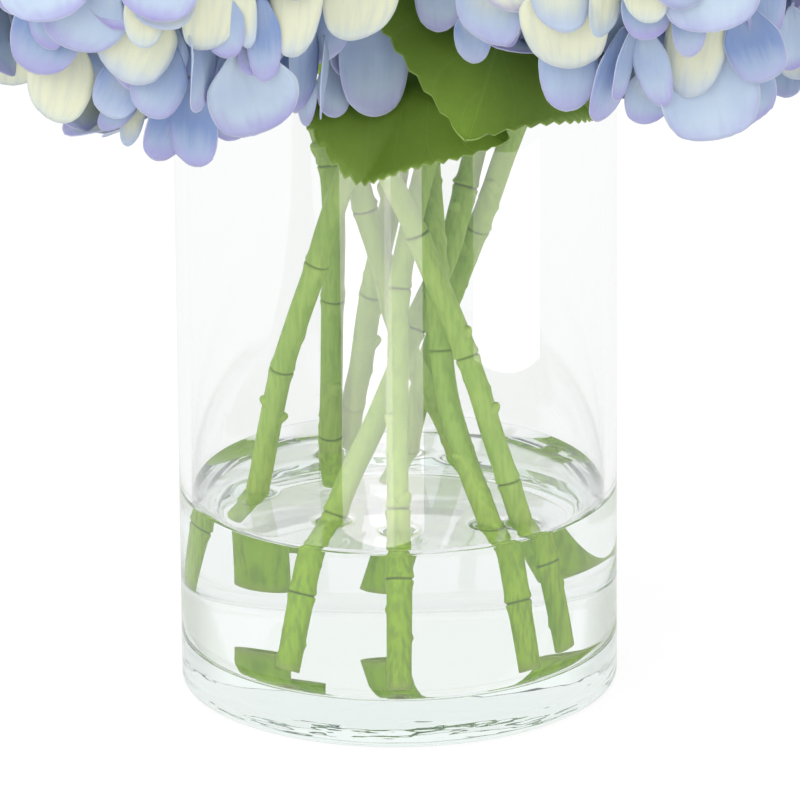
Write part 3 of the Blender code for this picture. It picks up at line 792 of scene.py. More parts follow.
def petal_finish(weave, mottle):
    """Pressed cloth dyed from a cream base through pale blue to a violet margin, with a light cut edge; the
    deeper blue towards the base is partly dye and partly painted shade under the overlapping petals.

    The mark petal_lie holds the places across and along, from -1 to 1, and a number of the petal's own. The
    mark petal_dye holds the share of cream, the share of violet and how deep the blue is, which is partly dye
    and partly painted shade.
    """
    material, tree, shader = new_finish("petal_cloth")
    cream, violet, deep = marks_of(tree, "petal_dye").parts()
    lie = marks_of(tree, "petal_lie")
    across, along, _ = lie.parts()
    patches = use_group(tree, mottle, Scale=60.0, Spread=0.25)
    threads = use_group(tree, weave, Scale=WEAVE_SCALE)
    streaks = lie.noise(STREAK_STRETCH, 3.0)
    rim = abs(across).peak(abs(along))
    reach = (along + 1.0) * 0.5 + (streaks - 0.5) * WANDER
    outward = reach + rim ** 2.0 * RIM_PULL
    # Deeper blue towards each petal's base and in random patches: partly the cloth's own dye, partly painted
    # shade where the bases lie under other petals
    deep_dye_and_shade = deep * (1.0 - reach.step(*DEEP_RANGE)) + patches * PATCH_DEPTH
    tinge = outward.step(*VIOLET_RANGE) * (violet * (patches * PATCH_TINGE[0] + PATCH_TINGE[1]))
    yellowing = cream * CREAM_GAIN - outward * CREAM_FADE
    color = tinge.dye(deep_dye_and_shade.dye(PALE_BLUE, DEEP_BLUE_AND_SHADE), VIOLET)
    color = yellowing.step(*CREAM_RANGE).dye(color, CREAM)
    color = streaks.step(*STREAK_RANGE, STREAK_SHARE).dye(color, STREAK)
    color = rim.step(*EDGE_RANGE, EDGE_SHARE).dye(color, CUT_EDGE)
    fill(shader, {"Base Color": color, "Roughness": patches * 0.12 + 0.68, "Specular IOR Level": 0.22,
                  "Sheen Weight": 0.2, "Sheen Roughness": 0.5})
    normal = add_bump(tree, shader, threads * 0.05 + streaks, 0.0005, 0.50)
    let_light_through(tree, shader, color, normal, PETAL_GLOW)
    return material


def leaf_finish(name, weave, mottle, deep, bright, vein):
    """Coated cloth: two greens in patches, paler veins and a light cut edge.

    The mark leaf_lie holds the share of the half width and the share of the length. Side veins lie where
    (length share x pairs - slant x width share^curve) comes to a whole number.
    """
    material, tree, shader = new_finish(name)
    across, along, _ = marks_of(tree, "leaf_lie").parts()
    patches = use_group(tree, mottle, Scale=30.0, Spread=0.30)
    fine = use_group(tree, mottle, Scale=500.0, Spread=0.35)
    threads = use_group(tree, weave, Scale=WEAVE_SCALE)
    away = reckon("PINGPONG", along * VEIN_PAIRS - across ** VEIN_CURVE * VEIN_SLANT, 0.5)
    side = 1.0 - away.step(0.0, VEIN_WIDTH)
    middle = 1.0 - across.step(0.0, MIDRIB_WIDTH)
    veins = (side * SIDE_VEIN_SHARE).peak(middle)
    color = (fine * SPECKLE_SHARE).dye(patches.dye(deep, bright), deep)
    color = (veins * VEIN_SHARE).dye(color, vein)
    color = across.step(*LEAF_EDGE_RANGE, LEAF_EDGE_SHARE).dye(color, vein)
    fill(shader, {"Base Color": color, "Roughness": fine * 0.16 + 0.46, "Specular IOR Level": 0.35})
    normal = add_bump(tree, shader, threads * 0.06 + fine * 0.12 + veins * -0.35, 0.0006, 0.5)
    let_light_through(tree, shader, color, normal, LEAF_GLOW)
    return material


def stem_finish(mottle):
    """Moulded plastic: bright green in the resin, painted light for how the stems look through it,
    yellow-green above it, then deeper, with dark joint rings.

    The mark stem_lie holds the share of the way up, the ring mask and the bore mask.
    """
    material, tree, shader = new_finish("stem_plastic")
    upward, ring, bore = marks_of(tree, "stem_lie").parts()
    place = coordinate(tree)
    height = place.parts()[2]
    patches = use_group(tree, mottle, Scale=70.0, Spread=0.3)
    grain = place.noise(GRAIN_STRETCH, 3.0)
    dry = upward.step(*STEM_RANGE).dye(patches.dye(*STEM_LOW), patches.dye(*STEM_HIGH))
    # Below the resin's surface the green is brighter: painted light, standing in for how the stems look
    # through the resin
    color = height.step(RESIN_TOP - 0.002, RESIN_TOP + 0.001).dye(patches.dye(*STEM_LIT_IN_RESIN), dry)
    color = grain.step(*GRAIN_RANGE, 0.45).dye(color, STEM_GRAIN)
    color = bore.dye(ring.dye(color, STEM_RING), STEM_BORE)
    fill(shader, {"Base Color": color, "Roughness": patches * 0.14 + 0.40, "Specular IOR Level": 0.18,
                  "Subsurface Weight": 0.10, "Subsurface Radius": (0.6, 1.0, 0.3), "Subsurface Scale": 0.002})
    add_bump(tree, shader, grain, 0.0005, 0.7)
    return material


# Vase and resin


def make_vase(glass):
    """Glass cylinder turned from one profile: foot, outer wall, round rim, inner wall, corner and floor.

    A point close beside each end of an arc keeps the flat parts flat under the smooth shading.
    """
    foot = VASE_RADIUS - OUTER_CORNER
    rim_height = VASE_HEIGHT - WALL / 2
    profile = np.vstack((
        [(foot * share, 0.0) for share in FLAT_SHARES],
        arc((foot, OUTER_CORNER), OUTER_CORNER, -90, 0, CORNER_STEPS),
        [(VASE_RADIUS, OUTER_CORNER + EDGE_STEP)],
        [(VASE_RADIUS, height) for height in np.linspace(0.010, rim_height - 0.004, 14)],
        arc((VASE_RADIUS - WALL / 2, rim_height), WALL / 2, 0, 180, 12),
        [(INSIDE, height) for height in np.linspace(rim_height - 0.004, 0.03, 12)],
        [(INSIDE, BASE + INNER_CORNER + EDGE_STEP)],
        arc((FLOOR_RADIUS, BASE + INNER_CORNER), INNER_CORNER, 0, -90, CORNER_STEPS),
        [(FLOOR_RADIUS * share, BASE) for share in reversed(FLAT_SHARES)],
    ))
    points, faces = closed_rings(turned(profile, VASE_SIDES), (0, 0, 0), (0, 0, BASE))
    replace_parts(make_piece("vase_glass", points, faces, [glass]), "vase")


def resin_height(places, crossings):
    """Height of the resin's top: level, plus a rise that falls off from the glass and from each stem.

    At the glass it is the meniscus height times a power of the share of its reach that is left. At a stem it
    is the collar height times e to the minus distance over its reach.
    """
    left = np.clip(1.0 - (INSIDE - np.linalg.norm(places, axis=-1)) / MENISCUS_REACH, 0.0, 1.02)
    height = RESIN_TOP - RESIN_SAG + MENISCUS_HEIGHT * left ** MENISCUS_POWER
    for crossing in crossings:
        away = np.linalg.norm(places - crossing, axis=-1) - STEM_RADIUS
        height = height + COLLAR_HEIGHT * np.exp(-np.maximum(away, 0.0) / COLLAR_REACH)
    return height


def make_resin(resin):
    """Closed body of resin: the floor, corner and wall of the vase's inside, then a polar grid for its top.

    It bites a little into the wall and the corner, where it is bonded, and stands off the flat floor by a
    film of air, which mirrors.
    """
    wall = INSIDE + RESIN_BITE
    floor = BASE + FLOOR_FILM
    routes = [along_route(stem_route(name), 120)[0] for name in STEMS]
    crossings = [route[np.abs(route[:, 2] - RESIN_TOP).argmin(), :2] for route in routes]
    middle_height, edge_height = resin_height(np.array([[0.0, 0.0], [wall, 0.0]]), crossings)
    lower = np.vstack((
        [(FLOOR_RADIUS * share, floor) for share in FILM_SHARES],
        arc((FLOOR_RADIUS, BASE + INNER_CORNER), INNER_CORNER + RESIN_BITE, -90, 0, CORNER_STEPS),
        [(wall, height) for height in np.linspace(BASE + INNER_CORNER + EDGE_STEP, RESIN_TOP, 8)],
        [(wall, edge_height - EDGE_DROP)],
    ))
    shares = np.concatenate(([1.0, 0.9993], np.linspace(0.999, 0.867, 32), np.linspace(0.86, 0.02, 60)))
    top = circle(VASE_SIDES) * (shares * wall)[:, None, None]
    top = np.concatenate((top, resin_height(top, crossings)[..., None]), axis=-1)
    body = np.concatenate((turned(lower, VASE_SIDES), top))
    points, faces = closed_rings(body, (0, 0, floor), (0, 0, middle_height))
    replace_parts(make_piece("clear_resin", points, faces, [resin]), "water")


# Stems


def stem_distances(rings, length):
    """Distances along a stem: an even pitch, and close steps to both sides of each joint ring."""
    even = np.arange(0.0, length, STEM_PITCH)
    close = np.array(RING_STEPS)
    free = np.abs(even[:, None] - rings).min(axis=1) > close[-1] + STEM_PITCH / 2
    near = [(rings[:, None] + sign * close).ravel() for sign in (-1, 1)]
    return np.unique(np.concatenate((even[free], *near, [0.0, length])))


def stem_radii(distances, rings, draw):
    """Radius at each distance and angle round a stem, and the mask of its rings.

    A joint ring is a narrow groove between two lips, each a bell curve of the distance from it. Every length
    between two rings has its own radius, the section is a little three-sided, and knobs stand out as bells.
    """
    away = distances[:, None] - rings
    groove = bell(away, RING_GROOVE_WIDTH)
    lips = bell(np.abs(away) - RING_LIP_WIDTH * 0.7, RING_LIP_WIDTH)
    own = draw.normal(0.0, PART_SPREAD, len(rings) + 1)[np.searchsorted(rings, distances)]
    radius = STEM_RADIUS - PART_DROP + own + RING_LIP * lips.sum(axis=1) - RING_GROOVE * groove.sum(axis=1)
    angles = even_angles(STEM_SIDES)
    dent = DENT * np.sin(angles * 3 + distances[:, None] * DENT_TWIST + draw.uniform(0, 6))
    spots = draw.uniform(0, 1, (KNOBS, 2)) * (distances[-1], 2 * math.pi)
    turn = (angles - spots[:, 1, None, None] + math.pi) % (2 * math.pi) - math.pi
    apart = np.hypot(distances[:, None] - spots[:, 0, None, None], turn * STEM_RADIUS)
    knobs = KNOB_HEIGHT * bell(apart, KNOB_WIDTH).max(axis=0)
    return radius[:, None] + dent + knobs, groove.max(axis=1)


def stem_shell(name, draw):
    """A moulded stem with its joint rings and a hollow cut end."""
    coarse = stem_route(name)
    length = along_route(coarse, 2)[1]
    rings = np.array(RINGS[name]) * length
    distances = stem_distances(rings, length)
    radii, grooves = stem_radii(distances, rings, draw)
    shell = tube(along_route(coarse, distances)[0], radii, STEM_SIDES)
    start = coarse[0]
    inward = unit(coarse[1] - start)
    shares = np.array((BORE_SHARE * 0.9, BORE_SHARE, BORE_SHARE + 0.08, 0.93))[:, None, None]
    depths = np.array((BORE_DEPTH, 3 * CUT_STEP, -CUT_STEP, -CUT_STEP))[:, None, None]
    rows = np.concatenate((start + (shell[:1] - start) * shares + inward * depths, shell))
    points, faces = closed_rings(rows, start + inward * BORE_DEPTH, coarse[-1])
    lie = np.zeros((len(rows), STEM_SIDES, 3))
    lie[4:, :, 0] = (distances / length)[:, None]
    lie[4:, :, 1] = grooves[:, None]
    lie[:5, :, 2] = 1.0
    lie[5, :, 2] = 0.4
    return points, faces, np.vstack((lie.reshape(-1, 3), [(0, 0, 1)], [(1, 0, 0)]))


def bud_shell(foot, run, direction, size, share):
    """A side bud: a short tube that leans off the stem, broad at its foot and closing at its tip."""
    outward = unit(np.array(direction, float))
    outward = unit(outward - run * (outward @ run) * 0.8)
    steps = np.linspace(0.0, 1.0, len(BUD_TAPER))[:, None]
    base = foot + outward * STEM_RADIUS * 0.4
    tip = foot + outward * (STEM_RADIUS + size * 0.55) + run * size * 0.9
    radii = size * np.array(BUD_TAPER)[:, None]
    rings = tube((1 - steps) * base + steps * tip, radii, BUD_SIDES)
    return *closed_rings(rings, base, tip + outward * size * 0.12), np.array((share, 0.0, 0.15))


def make_stems(plastic):
    """Each stem with its side buds as one piece."""
    for seed, name in enumerate(STEMS):
        draw = np.random.default_rng(STEM_SEED + seed)
        parts = [stem_shell(name, draw)]
        for share, direction in BUDS[name]:
            size = BUD_SIZE * draw.uniform(0.8, 1.15)
            parts.append(bud_shell(*stem_place(name, share), direction, size, share))
        points, faces, marks = join(parts)
        piece = make_piece("hydrangea_stem_" + name, points, faces, [plastic], {"stem_lie": marks})
        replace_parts(piece, "stem_" + name)


# Leaves


def leaf_rib(name, t):
    """Rib of a leaf, a quadratic curve from its stem over its bend to its tip, and side and up vectors."""
    stem, share, bend, tip = LEAVES[name][:4]
    bend, tip = np.array(bend), np.array(tip)
    place, climb = stem_place(stem, share)
    outward = bend - place
    foot = place + unit(outward - climb * (outward @ climb)) * (STEM_RADIUS + 2 * GAP)
    run = unit((1 - t) * (bend - foot) + t * (tip - bend))
    side = unit(np.cross(run, (0.0, 0.0, 1.0)))
    return bent(t, foot, bend, tip), side, np.cross(side, run)


def leaf_outline(t, half_width, stalk):
    """Half width along the rib, half_width sin(pi b^0.72)^0.8 at the share b past the stalk, and teeth."""
    blade = np.clip((t - stalk) / (1.0 - stalk), 0.0, 1.0)
    outline = half_width * np.sin(math.pi * blade ** 0.72) ** 0.8
    tooth = 1.0 - (t * LEAF_TEETH + 1e-6) % 1.0
    teeth = TOOTH_DEPTH * tooth * ease(outline, 0.002, 0.010)
    return np.maximum(outline, STALK_HALF_WIDTH * (1 - 0.6 * t)), teeth


def leaf_surface(name, stations, shares):
    """Points of a leaf, rib plus the share of its half width along the drooping side vector, and up vectors.

    The droop angle of each half eases in past the stalk.
    """
    t = np.linspace(0.0, 1.0, stations)[:, None]
    rib, side, up = leaf_rib(name, t)
    half_width, drops, stalk = LEAVES[name][4:]
    angle = np.radians(np.where(shares > 0, drops[1], drops[0])) * ease(t, DROP_START, DROP_START + DROP_RUN)
    outline, teeth = leaf_outline(t, half_width, stalk)
    widths = outline * shares - teeth * np.sign(shares) * ease(np.abs(shares), 0.78, 1.0)
    out = side[:, None] * (np.cos(angle) * widths)[..., None]
    down = up[:, None] * (np.sin(angle) * np.abs(widths))[..., None]
    return rib[:, None] + out - down, up[:, None]


def make_leaves(top_cloth, under_cloth):
    """Die-cut leaves with saw teeth, a rib that stands in a shallow fold, and a ripple towards the margin."""
    shares = np.linspace(-1.0, 1.0, 2 * LEAF_COLUMNS + 1)
    t, w = np.meshgrid(np.linspace(0.0, 1.0, LEAF_STATIONS), shares, indexing="ij")
    for seed, name in enumerate(LEAVES):
        draw = np.random.default_rng(LEAF_SEED + seed)
        points, up = leaf_surface(name, LEAF_STATIONS, shares)
        ripple = LEAF_RIPPLE * w ** 2 * np.sin(t * 17 + np.sign(w) * draw.uniform(1, 3)) * ease(t, 0.25, 0.5)
        fold = LEAF_FOLD * np.abs(w) ** 0.7 * ease(t, 0.2, 0.5)
        points = points + up * (ripple + fold)[..., None]
        marks = {"leaf_lie": np.stack((np.abs(w), t, np.zeros_like(t)), axis=-1)}
        faces = grid_faces(*w.shape)
        piece = make_piece("toothed_leaf_" + name, points, faces, [top_cloth, under_cloth], marks)
        add_wall(piece, LEAF_THICKNESS, under=1)
        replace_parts(piece, "leaf_" + name)


# Flower heads


def head_obstacles(name):
    """Ways and distances from a head to points on the other stems, the leaves and the rim, and margins."""
    rim = turned(np.array([(VASE_RADIUS - WALL / 2, VASE_HEIGHT)]), 120)[0]
    things = [(along_route(stem_route(other), 90)[0], STEM_RADIUS) for other in STEMS if other != name]
    things.append((rim, WALL / 2))
    for leaf in LEAVES:
        things.append((leaf_surface(leaf, 25, np.linspace(-1, 1, 9))[0].reshape(-1, 3), LEAF_THICKNESS))
    points = np.vstack([places for places, _ in things]) - HEADS[name]
    margins = np.concatenate([np.full(len(places), size + MARGIN) for places, size in things])
    distance = np.linalg.norm(points, axis=1)
    near = distance < 1.5 * HEAD_RADIUS
    return points[near] / distance[near, None], distance[near], margins[near]


def reach_to_heads(rays, name):
    """How far a head may reach along each ray before it is halfway to another: half the way by the cosine."""
    away = np.array([np.array(place) - HEADS[name] for other, place in HEADS.items() if other != name])
    length = np.linalg.norm(away, axis=1)
    cosine = np.maximum(rays @ (away / length[:, None]).T, 1e-6)
    return ((0.5 * length - GAP) / cosine).min(axis=1)


def reach_to_things(rays, name):
    """How far a head may reach along each ray before it meets a stem, a leaf or the rim.

    It is the distance of each point there less a margin, and grows with how far the ray passes it sideways.
    """
    ways, distance, margins = head_obstacles(name)
    bound = np.empty(len(rays))
    for start in range(0, len(rays), 2000):
        part = rays[start:start + 2000] @ ways.T
        beside = distance * np.sqrt(np.maximum(1.0 - part * part, 0.0))
        limit = distance - margins + SIDE_SLOPE * np.maximum(beside - margins, 0.0)
        bound[start:start + 2000] = np.where(part > 0.0, limit, np.inf).min(axis=1)
    return bound


def press(points, name):
    """Draw points in along their rays to within the head's reach: the last part closes in as 1 - e^-x."""
    flat = points.reshape(-1, 3)
    length = np.linalg.norm(flat, axis=1)
    rays = flat / np.maximum(length, 1e-9)[:, None]
    bound = np.minimum(reach_to_heads(rays, name), reach_to_things(rays, name))
    soft = SOFT_START * bound
    spare = bound - soft
    pressed = soft + spare * (1.0 - np.exp(-np.maximum(length - soft, 0.0) / spare))
    return (rays * np.where(length > soft, pressed, length)[:, None]).reshape(points.shape)


def close_to(ways, others, angle):
    """Which ways lie within the angle of one of the others."""
    return (ways @ np.reshape(others, (-1, 3)).T).max(axis=1, initial=-1.0) > math.cos(angle)


def floret_ways(name, count, draw):
    """Even directions by the golden angle, bare round the stem, each moved a little."""
    golden = math.pi * (3.0 - math.sqrt(5.0))
    number = np.arange(count)
    height = 1.0 - 2.0 * (number + 0.5) / count
    angle = golden * number + draw.uniform(0, ANGLE_SPAN)
    ring = np.sqrt(1.0 - height ** 2)
    ways = np.stack((ring * np.cos(angle), ring * np.sin(angle), height), axis=-1)
    ways = unit(ways + draw.uniform(-0.09, 0.09, ways.shape))
    axis = -stem_axis(name)
    side = unit(np.cross(axis, (0.0, 1.0, 0.2)))
    ways = ways @ np.stack((side, np.cross(axis, side), axis))
    return ways[ways @ -axis < math.cos(BARE_ANGLE)]


def free_ways(name, count, share, taken, draw):
    """Ways of a layer's florets that have room there, and how far out each lies.

    Outer florets leave out the ways of placed petals and of gaps; inner ones sink deeper under placed petals.
    """
    ways = floret_ways(name, count, draw)
    under = close_to(ways, taken, CLEAR_OF_PLACED)
    room = reach_to_things(ways, name) > HEAD_RADIUS * np.where(under, SUNK_ROOM_SHARE, ROOM_SHARE * share)
    if share == 1.0:
        room &= ~under & ~close_to(ways, GAPS.get(name, []), GAP_ANGLE)
    return ways[room], np.where(under, SUNK_SHARE, share)[room]


def ring_ways(name):
    """Ways of the deeper florets that close a head behind its placed petals."""
    turn, up = np.radians(np.reshape(RING.get(name, []), (-1, 2))).T
    return np.stack((np.sin(turn) * np.cos(up), -np.cos(turn) * np.cos(up), np.sin(up)), axis=-1)


def floret_frames(ways, draw):
    """A frame for each floret: its way leaned at random, after two vectors across it turned at random."""
    outward = unit(ways + draw.normal(0.0, FLORET_LEAN, ways.shape))
    side = unit(np.cross(outward, unit(draw.normal(size=ways.shape))))
    return side, np.cross(outward, side), outward


def petal_shapes(length, half, grid, draw):
    """Local points (across, along, up) of many petals, narrowed to the base, cupped, bent back and ruffled.

    A square grid of a and b is drawn towards a disc, x = a sqrt(1 - k b^2) and y = b sqrt(1 - k a^2).
    Up is cup x^2 + bend y^2 + a crease along the middle + ripples that grow with the cube of the reach.
    """
    rows, columns = grid
    b, a = np.meshgrid(np.linspace(-1, 1, rows + 1), np.linspace(-1, 1, columns + 1), indexing="ij")
    x, y = a * np.sqrt(1 - PETAL_ROUND * b * b), b * np.sqrt(1 - PETAL_ROUND * a * a)
    radius, around, along = np.hypot(x, y), np.arctan2(y, x), (y + 1) / 2
    size = (len(length), 1, 1)
    length, half = length.reshape(size), half.reshape(size)
    narrow = BASE_WIDTH + (1 - BASE_WIDTH) * ease(y, -1.0, -0.1)
    wave = 1 + WAVE * radius ** 3 * np.sin(2 * around + draw.uniform(0, ANGLE_SPAN, size))
    fray = 1 + PETAL_FRAY * radius ** 8 * draw.normal(size=(len(length), *a.shape))
    ripple = draw.uniform(*RUFFLE, size) * half * radius ** 3
    ripple = ripple * np.sin(3 * around + draw.uniform(0, ANGLE_SPAN, size))
    cup = draw.uniform(*CUP, size) * half * x * x
    bend = draw.uniform(*BEND, size) * length * along * along
    crease = -CREASE * half * bell(x, CREASE_WIDTH) * 4 * along * (1 - along)
    points = (x * narrow * half * wave * fray, along * length * wave * fray, ripple + cup + bend + crease)
    return np.stack(points, axis=-1), (a, b)


def petal_marks(places, cream, violet, deep, draw):
    """The dye and lie marks of many petals, point by point, from the places on their grid and their dyes,
    whose depth of blue is partly painted shade.
    """
    shape = (len(deep), *places[0].shape)
    own = draw.uniform(0, 1, len(deep))
    values = [np.broadcast_to(np.reshape(v, (-1, 1, 1)), shape) for v in (cream, violet, deep, own)]
    places = [np.broadcast_to(place, shape) for place in places]
    dye, lie = np.stack(values[:3], axis=-1), np.stack((*places, values[3]), axis=-1)
    return {"petal_dye": dye.reshape(-1, 3), "petal_lie": lie.reshape(-1, 3)}


def floret_petals(name, ways, share, depth, draw):
    """All the petals of one layer of florets, four to a floret, and the florets' middles and outward ways.

    Share is how far out each floret lies, and depth is the deeper blue added to it, painted shade for florets
    that lie deep in the head.
    """
    frames = floret_frames(ways, draw)
    radius = HEAD_RADIUS * (1 - LOW_SHRINK * ease(-ways[:, 2], 0.3, 0.8))
    bound = np.minimum(reach_to_heads(ways, name), radius)
    centres = ways * (bound * share - FLORET_SINK)[:, None]
    count = len(ways) * PETALS
    length = PETAL_LENGTH * draw.uniform(*LENGTH_SPREAD, count)
    half = PETAL_HALF_WIDTH * draw.uniform(*WIDTH_SPREAD, count)
    shapes, places = petal_shapes(length, half, PETAL_GRID, draw)
    across, along, up = np.moveaxis(shapes.reshape(len(ways), PETALS, *shapes.shape[1:]), -1, 0)
    turn = even_angles(PETALS) + draw.normal(0, TURN_SPREAD, (len(ways), PETALS))
    tilt = draw.normal(*TILT, (len(ways), PETALS))[..., None, None]
    layer = (PETAL_LAYER * (-1.0) ** np.arange(PETALS))[:, None, None]
    forward = along * np.cos(tilt) - up * np.sin(tilt)
    raised = along * np.sin(tilt) + up * np.cos(tilt) + layer
    cosine, sine = np.cos(turn)[..., None, None], np.sin(turn)[..., None, None]
    local = (across * cosine + forward * sine, forward * cosine - across * sine, raised)
    points = sum(value[..., None] * frame[:, None, None, None] for value, frame in zip(local, frames))
    points = press(points + centres[:, None, None, None], name)
    cream = np.repeat(0.9 * draw.uniform(0, 1, len(ways)) ** 2.6, PETALS) + draw.normal(0, 0.06, count)
    deep = draw.uniform(0.1, 0.8, count) + depth
    marks = petal_marks(places, cream, draw.uniform(0.3, 1.0, count), deep, draw)
    return points, marks, press(centres, name), frames[2]


def placed_petals(name, draw):
    """The listed petals of a head: each lies from its base to its tip and faces outwards and forward.

    Then it is rolled about its length, and made wider by one over the roll's cosine to look as wide.
    """
    rows = np.array(PLACED[name], float)
    base, tip, half = rows[:, :3] / 1000, rows[:, 3:6] / 1000, rows[:, 6] / 1000
    roll, cream, violet = rows[:, 7:].T
    length = np.linalg.norm(tip - base, axis=1)
    along = (tip - base) / length[:, None]
    middle = unit((base + tip) / 2)
    across = unit(np.cross(along, middle * (1 - FACING) + CAMERA_WAY * FACING))
    outward = np.cross(across, along)
    cosine, sine = np.cos(np.radians(roll))[:, None], np.sin(np.radians(roll))[:, None]
    frames = (across * cosine + outward * sine, along, outward * cosine - across * sine)
    half = half / np.maximum(cosine[:, 0], 0.45)
    shapes, places = petal_shapes(length * 1.03, half, PLACED_GRID, draw)
    points = base[:, None, None] + sum(shapes[..., k, None] * frames[k][:, None, None] for k in range(3))
    # Depth of blue, partly the petals' own dye and partly painted shade, and less on the wider petals
    deep = draw.uniform(0.40, 1.05, len(rows)) * (1.0 - 0.75 * ease(half, 0.011, 0.016))
    return points, petal_marks(places, cream, violet, deep, draw), middle


def make_head(name, seed, cloth, plastic):
    """One flower head: placed petals, an outer, a deeper and an inner layer of florets, and their stalks."""
    draw = np.random.default_rng(seed)
    placed, taken = [], []
    if name in PLACED:
        *petals, taken = placed_petals(name, draw)
        placed = [petals]
    outer = floret_petals(name, *free_ways(name, OUTER_FLORETS, 1.0, taken, draw), 0.0, draw)
    inner = floret_petals(name, *free_ways(name, INNER_FLORETS, INNER_SHARE, taken, draw), INNER_PAINTED_SHADE, draw)
    own_draw = np.random.default_rng(RING_SEED + seed)
    deeper = floret_petals(name, ring_ways(name), RING_SHARE, RING_PAINTED_SHADE, own_draw)
    make_stalks(name, np.vstack((outer[2], deeper[2])), np.vstack((outer[3], deeper[3])), plastic)
    layers = placed + [outer[:2], deeper[:2], inner[:2]]
    faces, start = [], 0
    for points, _ in layers:
        *many, rows, columns, _ = points.shape
        faces.append(grid_faces(rows, columns, copies=math.prod(many)) + start)
        start += points.size // 3
    points = np.concatenate([points.reshape(-1, 3) for points, _ in layers]) + HEADS[name]
    marks = {title: np.concatenate([own[title] for _, own in layers]) for title in ("petal_dye", "petal_lie")}
    piece = make_piece("hydrangea_head_" + name, points, np.concatenate(faces), [cloth], marks)
    add_wall(piece, PETAL_THICKNESS)
    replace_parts(piece, "flower_head_" + name)


def make_stalks(name, centres, outward, plastic):
    """Thin green stalks that fan out from the top of the stem to a bead in the middle of each floret."""
    base = stem_axis(name) * (NECK_DROP - 0.0015)
    t = np.linspace(0.0, 1.0, STALK_STATIONS)[:, None]
    radii = np.array(STALK_RADII)[:, None]
    beads = np.array(BEAD_STEPS)[:, None]
    parts = []
    for centre, way in zip(centres, outward):
        climb = bent(t, base, centre - way * STALK_BEND + base * 0.15, centre)
        route = np.vstack((climb[:-1], centre + way * beads)) + HEADS[name]
        points, faces = closed_rings(tube(route, radii, STALK_SIDES), route[0], route[-1] + way * 0.0002)
        parts.append((points, faces, np.array((0.7, 0.0, 0.0))))
    points, faces, marks = join(parts)
    make_piece("flower_stalks_" + name, points, faces, [plastic], {"stem_lie": marks})


# Light, floor and camera


def make_world():
    """White surroundings, brighter above, with two soft panels at the upper front.

    The panels are windows in the angle round Z from the front and in the height of the direction looked in.
    What is seen through the glass is white too, and a little darker at both sides, which draws its edges.
    What lights the pieces inside is stronger, for the light that the glass itself would gather.
    """
    world = bpy.data.worlds.new("studio")
    bpy.context.scene.world = world
    world.use_nodes = True
    tree = world.node_tree
    x, y, height = coordinate(tree, "Generated").parts()
    angle = reckon("ARCTAN2", x, y * -1.0)
    total = height.step(*SKY_RANGE, SKY_RISE) + SKY
    for angles, heights, strength in WINDOWS:
        total = total + angle.window(*angles, ANGLE_SOFT) * height.window(*heights, HEIGHT_SOFT) * strength
    through = 1.0 - abs(x).window(*SIDE_RANGE, SIDE_SOFT) * SIDE_SHADE
    path = add_node(tree, "ShaderNodeLightPath").outputs
    inside = reckon("GREATER_THAN", Field(path["Diffuse Depth"]), 0.5)
    gathered = inside.choose(through, total * GATHERED)
    light = Field(path["Is Transmission Ray"]).choose(total, gathered)
    light = Field(path["Is Camera Ray"]).choose(light, 1.0)
    fill(tree.nodes["Background"], {"Color": (1.0, 1.0, 1.0), "Strength": light})


def look_frame(place, target, roll=0.0):
    """Matrix of something at a place that looks at a target, level and then rolled."""
    back = unit(np.array(place, float) - np.array(target, float))
    right = unit(np.cross((0.0, 0.0, 1.0), back))
    up = np.cross(back, right)
    matrix = np.eye(4)
    matrix[:3, 0] = math.cos(roll) * right + math.sin(roll) * up
    matrix[:3, 1] = math.cos(roll) * up - math.sin(roll) * right
    matrix[:3, 2], matrix[:3, 3] = back, place
    return matrix.T.tolist()


def make_panels():
    """Low panels in front and at the right that only show as a pale sheen on the upper part of the glass."""
    for name, place, target, width, height, glare in PANELS:
        lamp = bpy.data.lights.new(name, "AREA")
        lamp.shape = "RECTANGLE"
        lamp.size = width
        lamp.size_y = height
        lamp.energy = glare * width * height * math.pi
        lamp.color = (1.0, 0.84, 1.0)
        panel = bpy.data.objects.new(name, lamp)
        panel.matrix_world = look_frame(place, target)
        panel.visible_camera = False
        panel.visible_diffuse = False
        panel.visible_transmission = False
        bpy.context.scene.collection.objects.link(panel)


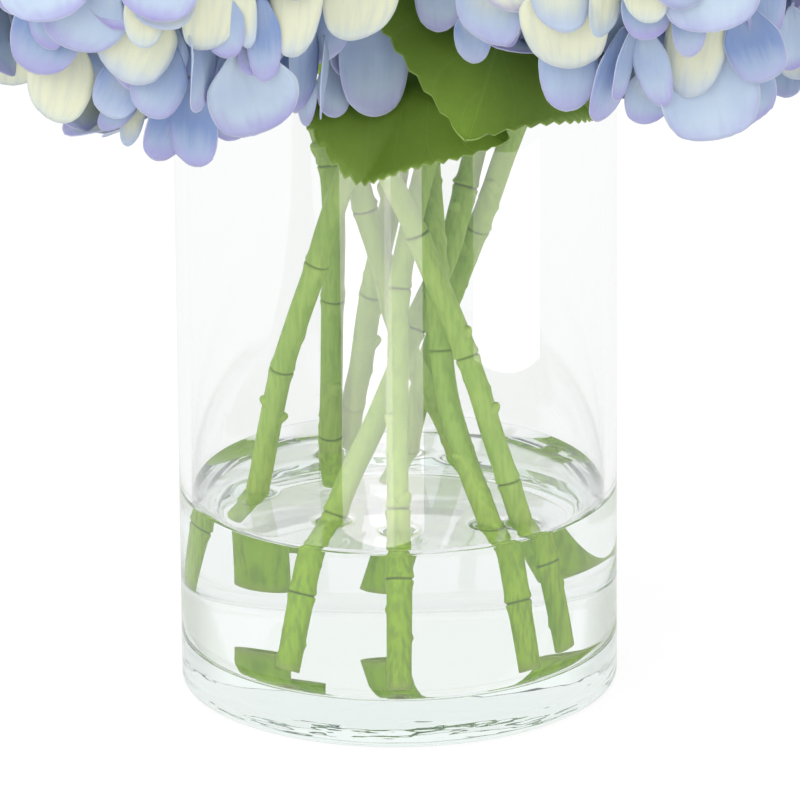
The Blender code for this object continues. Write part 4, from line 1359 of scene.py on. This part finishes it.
def make_floor():
    """A white table that glows, a little darker in the glass's reflections and brighter through the glass."""
    material, tree, shader = new_finish("white_table")
    noise = field(tree, "ShaderNodeTexNoise", {"Scale": 3.0}, "Fac")
    path = add_node(tree, "ShaderNodeLightPath").outputs
    dimmed = Field(path["Is Glossy Ray"]) * TABLE_DIMMED
    raised = Field(path["Is Transmission Ray"]) * TABLE_RAISED
    fill(shader, {"Base Color": noise.dye(*TABLE_GREYS), "Roughness": 0.9, "Specular IOR Level": 0.0,
                  "Emission Color": (1.0, 1.0, 1.0), "Emission Strength": TABLE_GLOW - dimmed + raised})
    mesh = bpy.data.meshes.new("white_table")
    mesh.from_pydata([(x, y, -TABLE_DROP) for x, y in TABLE_CORNERS], [], [(0, 1, 2, 3)])
    mesh.materials.append(material)
    floor = bpy.data.objects.new("white_table", mesh)
    bpy.context.scene.collection.objects.link(floor)


def make_camera():
    """Camera above the front, looking down at its target from the fitted elevation."""
    lens = bpy.data.cameras.new("camera")
    lens.lens = CAMERA_LENS
    lens.sensor_width = CAMERA_SENSOR
    lens.clip_end = 20.0
    camera = bpy.data.objects.new("camera", lens)
    camera.matrix_world = look_frame(CAMERA_TARGET + CAMERA_WAY * CAMERA_DISTANCE, CAMERA_TARGET, CAMERA_ROLL)
    bpy.context.scene.collection.objects.link(camera)
    bpy.context.scene.camera = camera


def main():
    """Build the arrangement over its solids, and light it."""
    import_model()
    weave = cloth_weave_group()
    mottle = mottle_group()
    glass = clear_finish("vase_glass", **GLASS)
    resin = clear_finish("clear_resin", **RESIN)
    ripple_foot(glass)
    cloth = petal_finish(weave, mottle)
    leaf_top = leaf_finish("leaf_top", weave, mottle, **LEAF_TOP)
    leaf_under = leaf_finish("leaf_under", weave, mottle, **LEAF_UNDER)
    plastic = stem_finish(mottle)
    make_vase(glass)
    make_resin(resin)
    make_stems(plastic)
    make_leaves(leaf_top, leaf_under)
    for seed, name in enumerate(HEADS):
        make_head(name, HEAD_SEED + seed, cloth, plastic)
    make_floor()
    make_world()
    make_panels()
    make_camera()
    bpy.context.scene.view_settings.view_transform = "Standard"
    cycles = bpy.context.scene.cycles
    cycles.max_bounces = cycles.transmission_bounces = cycles.glossy_bounces = BOUNCES


main()
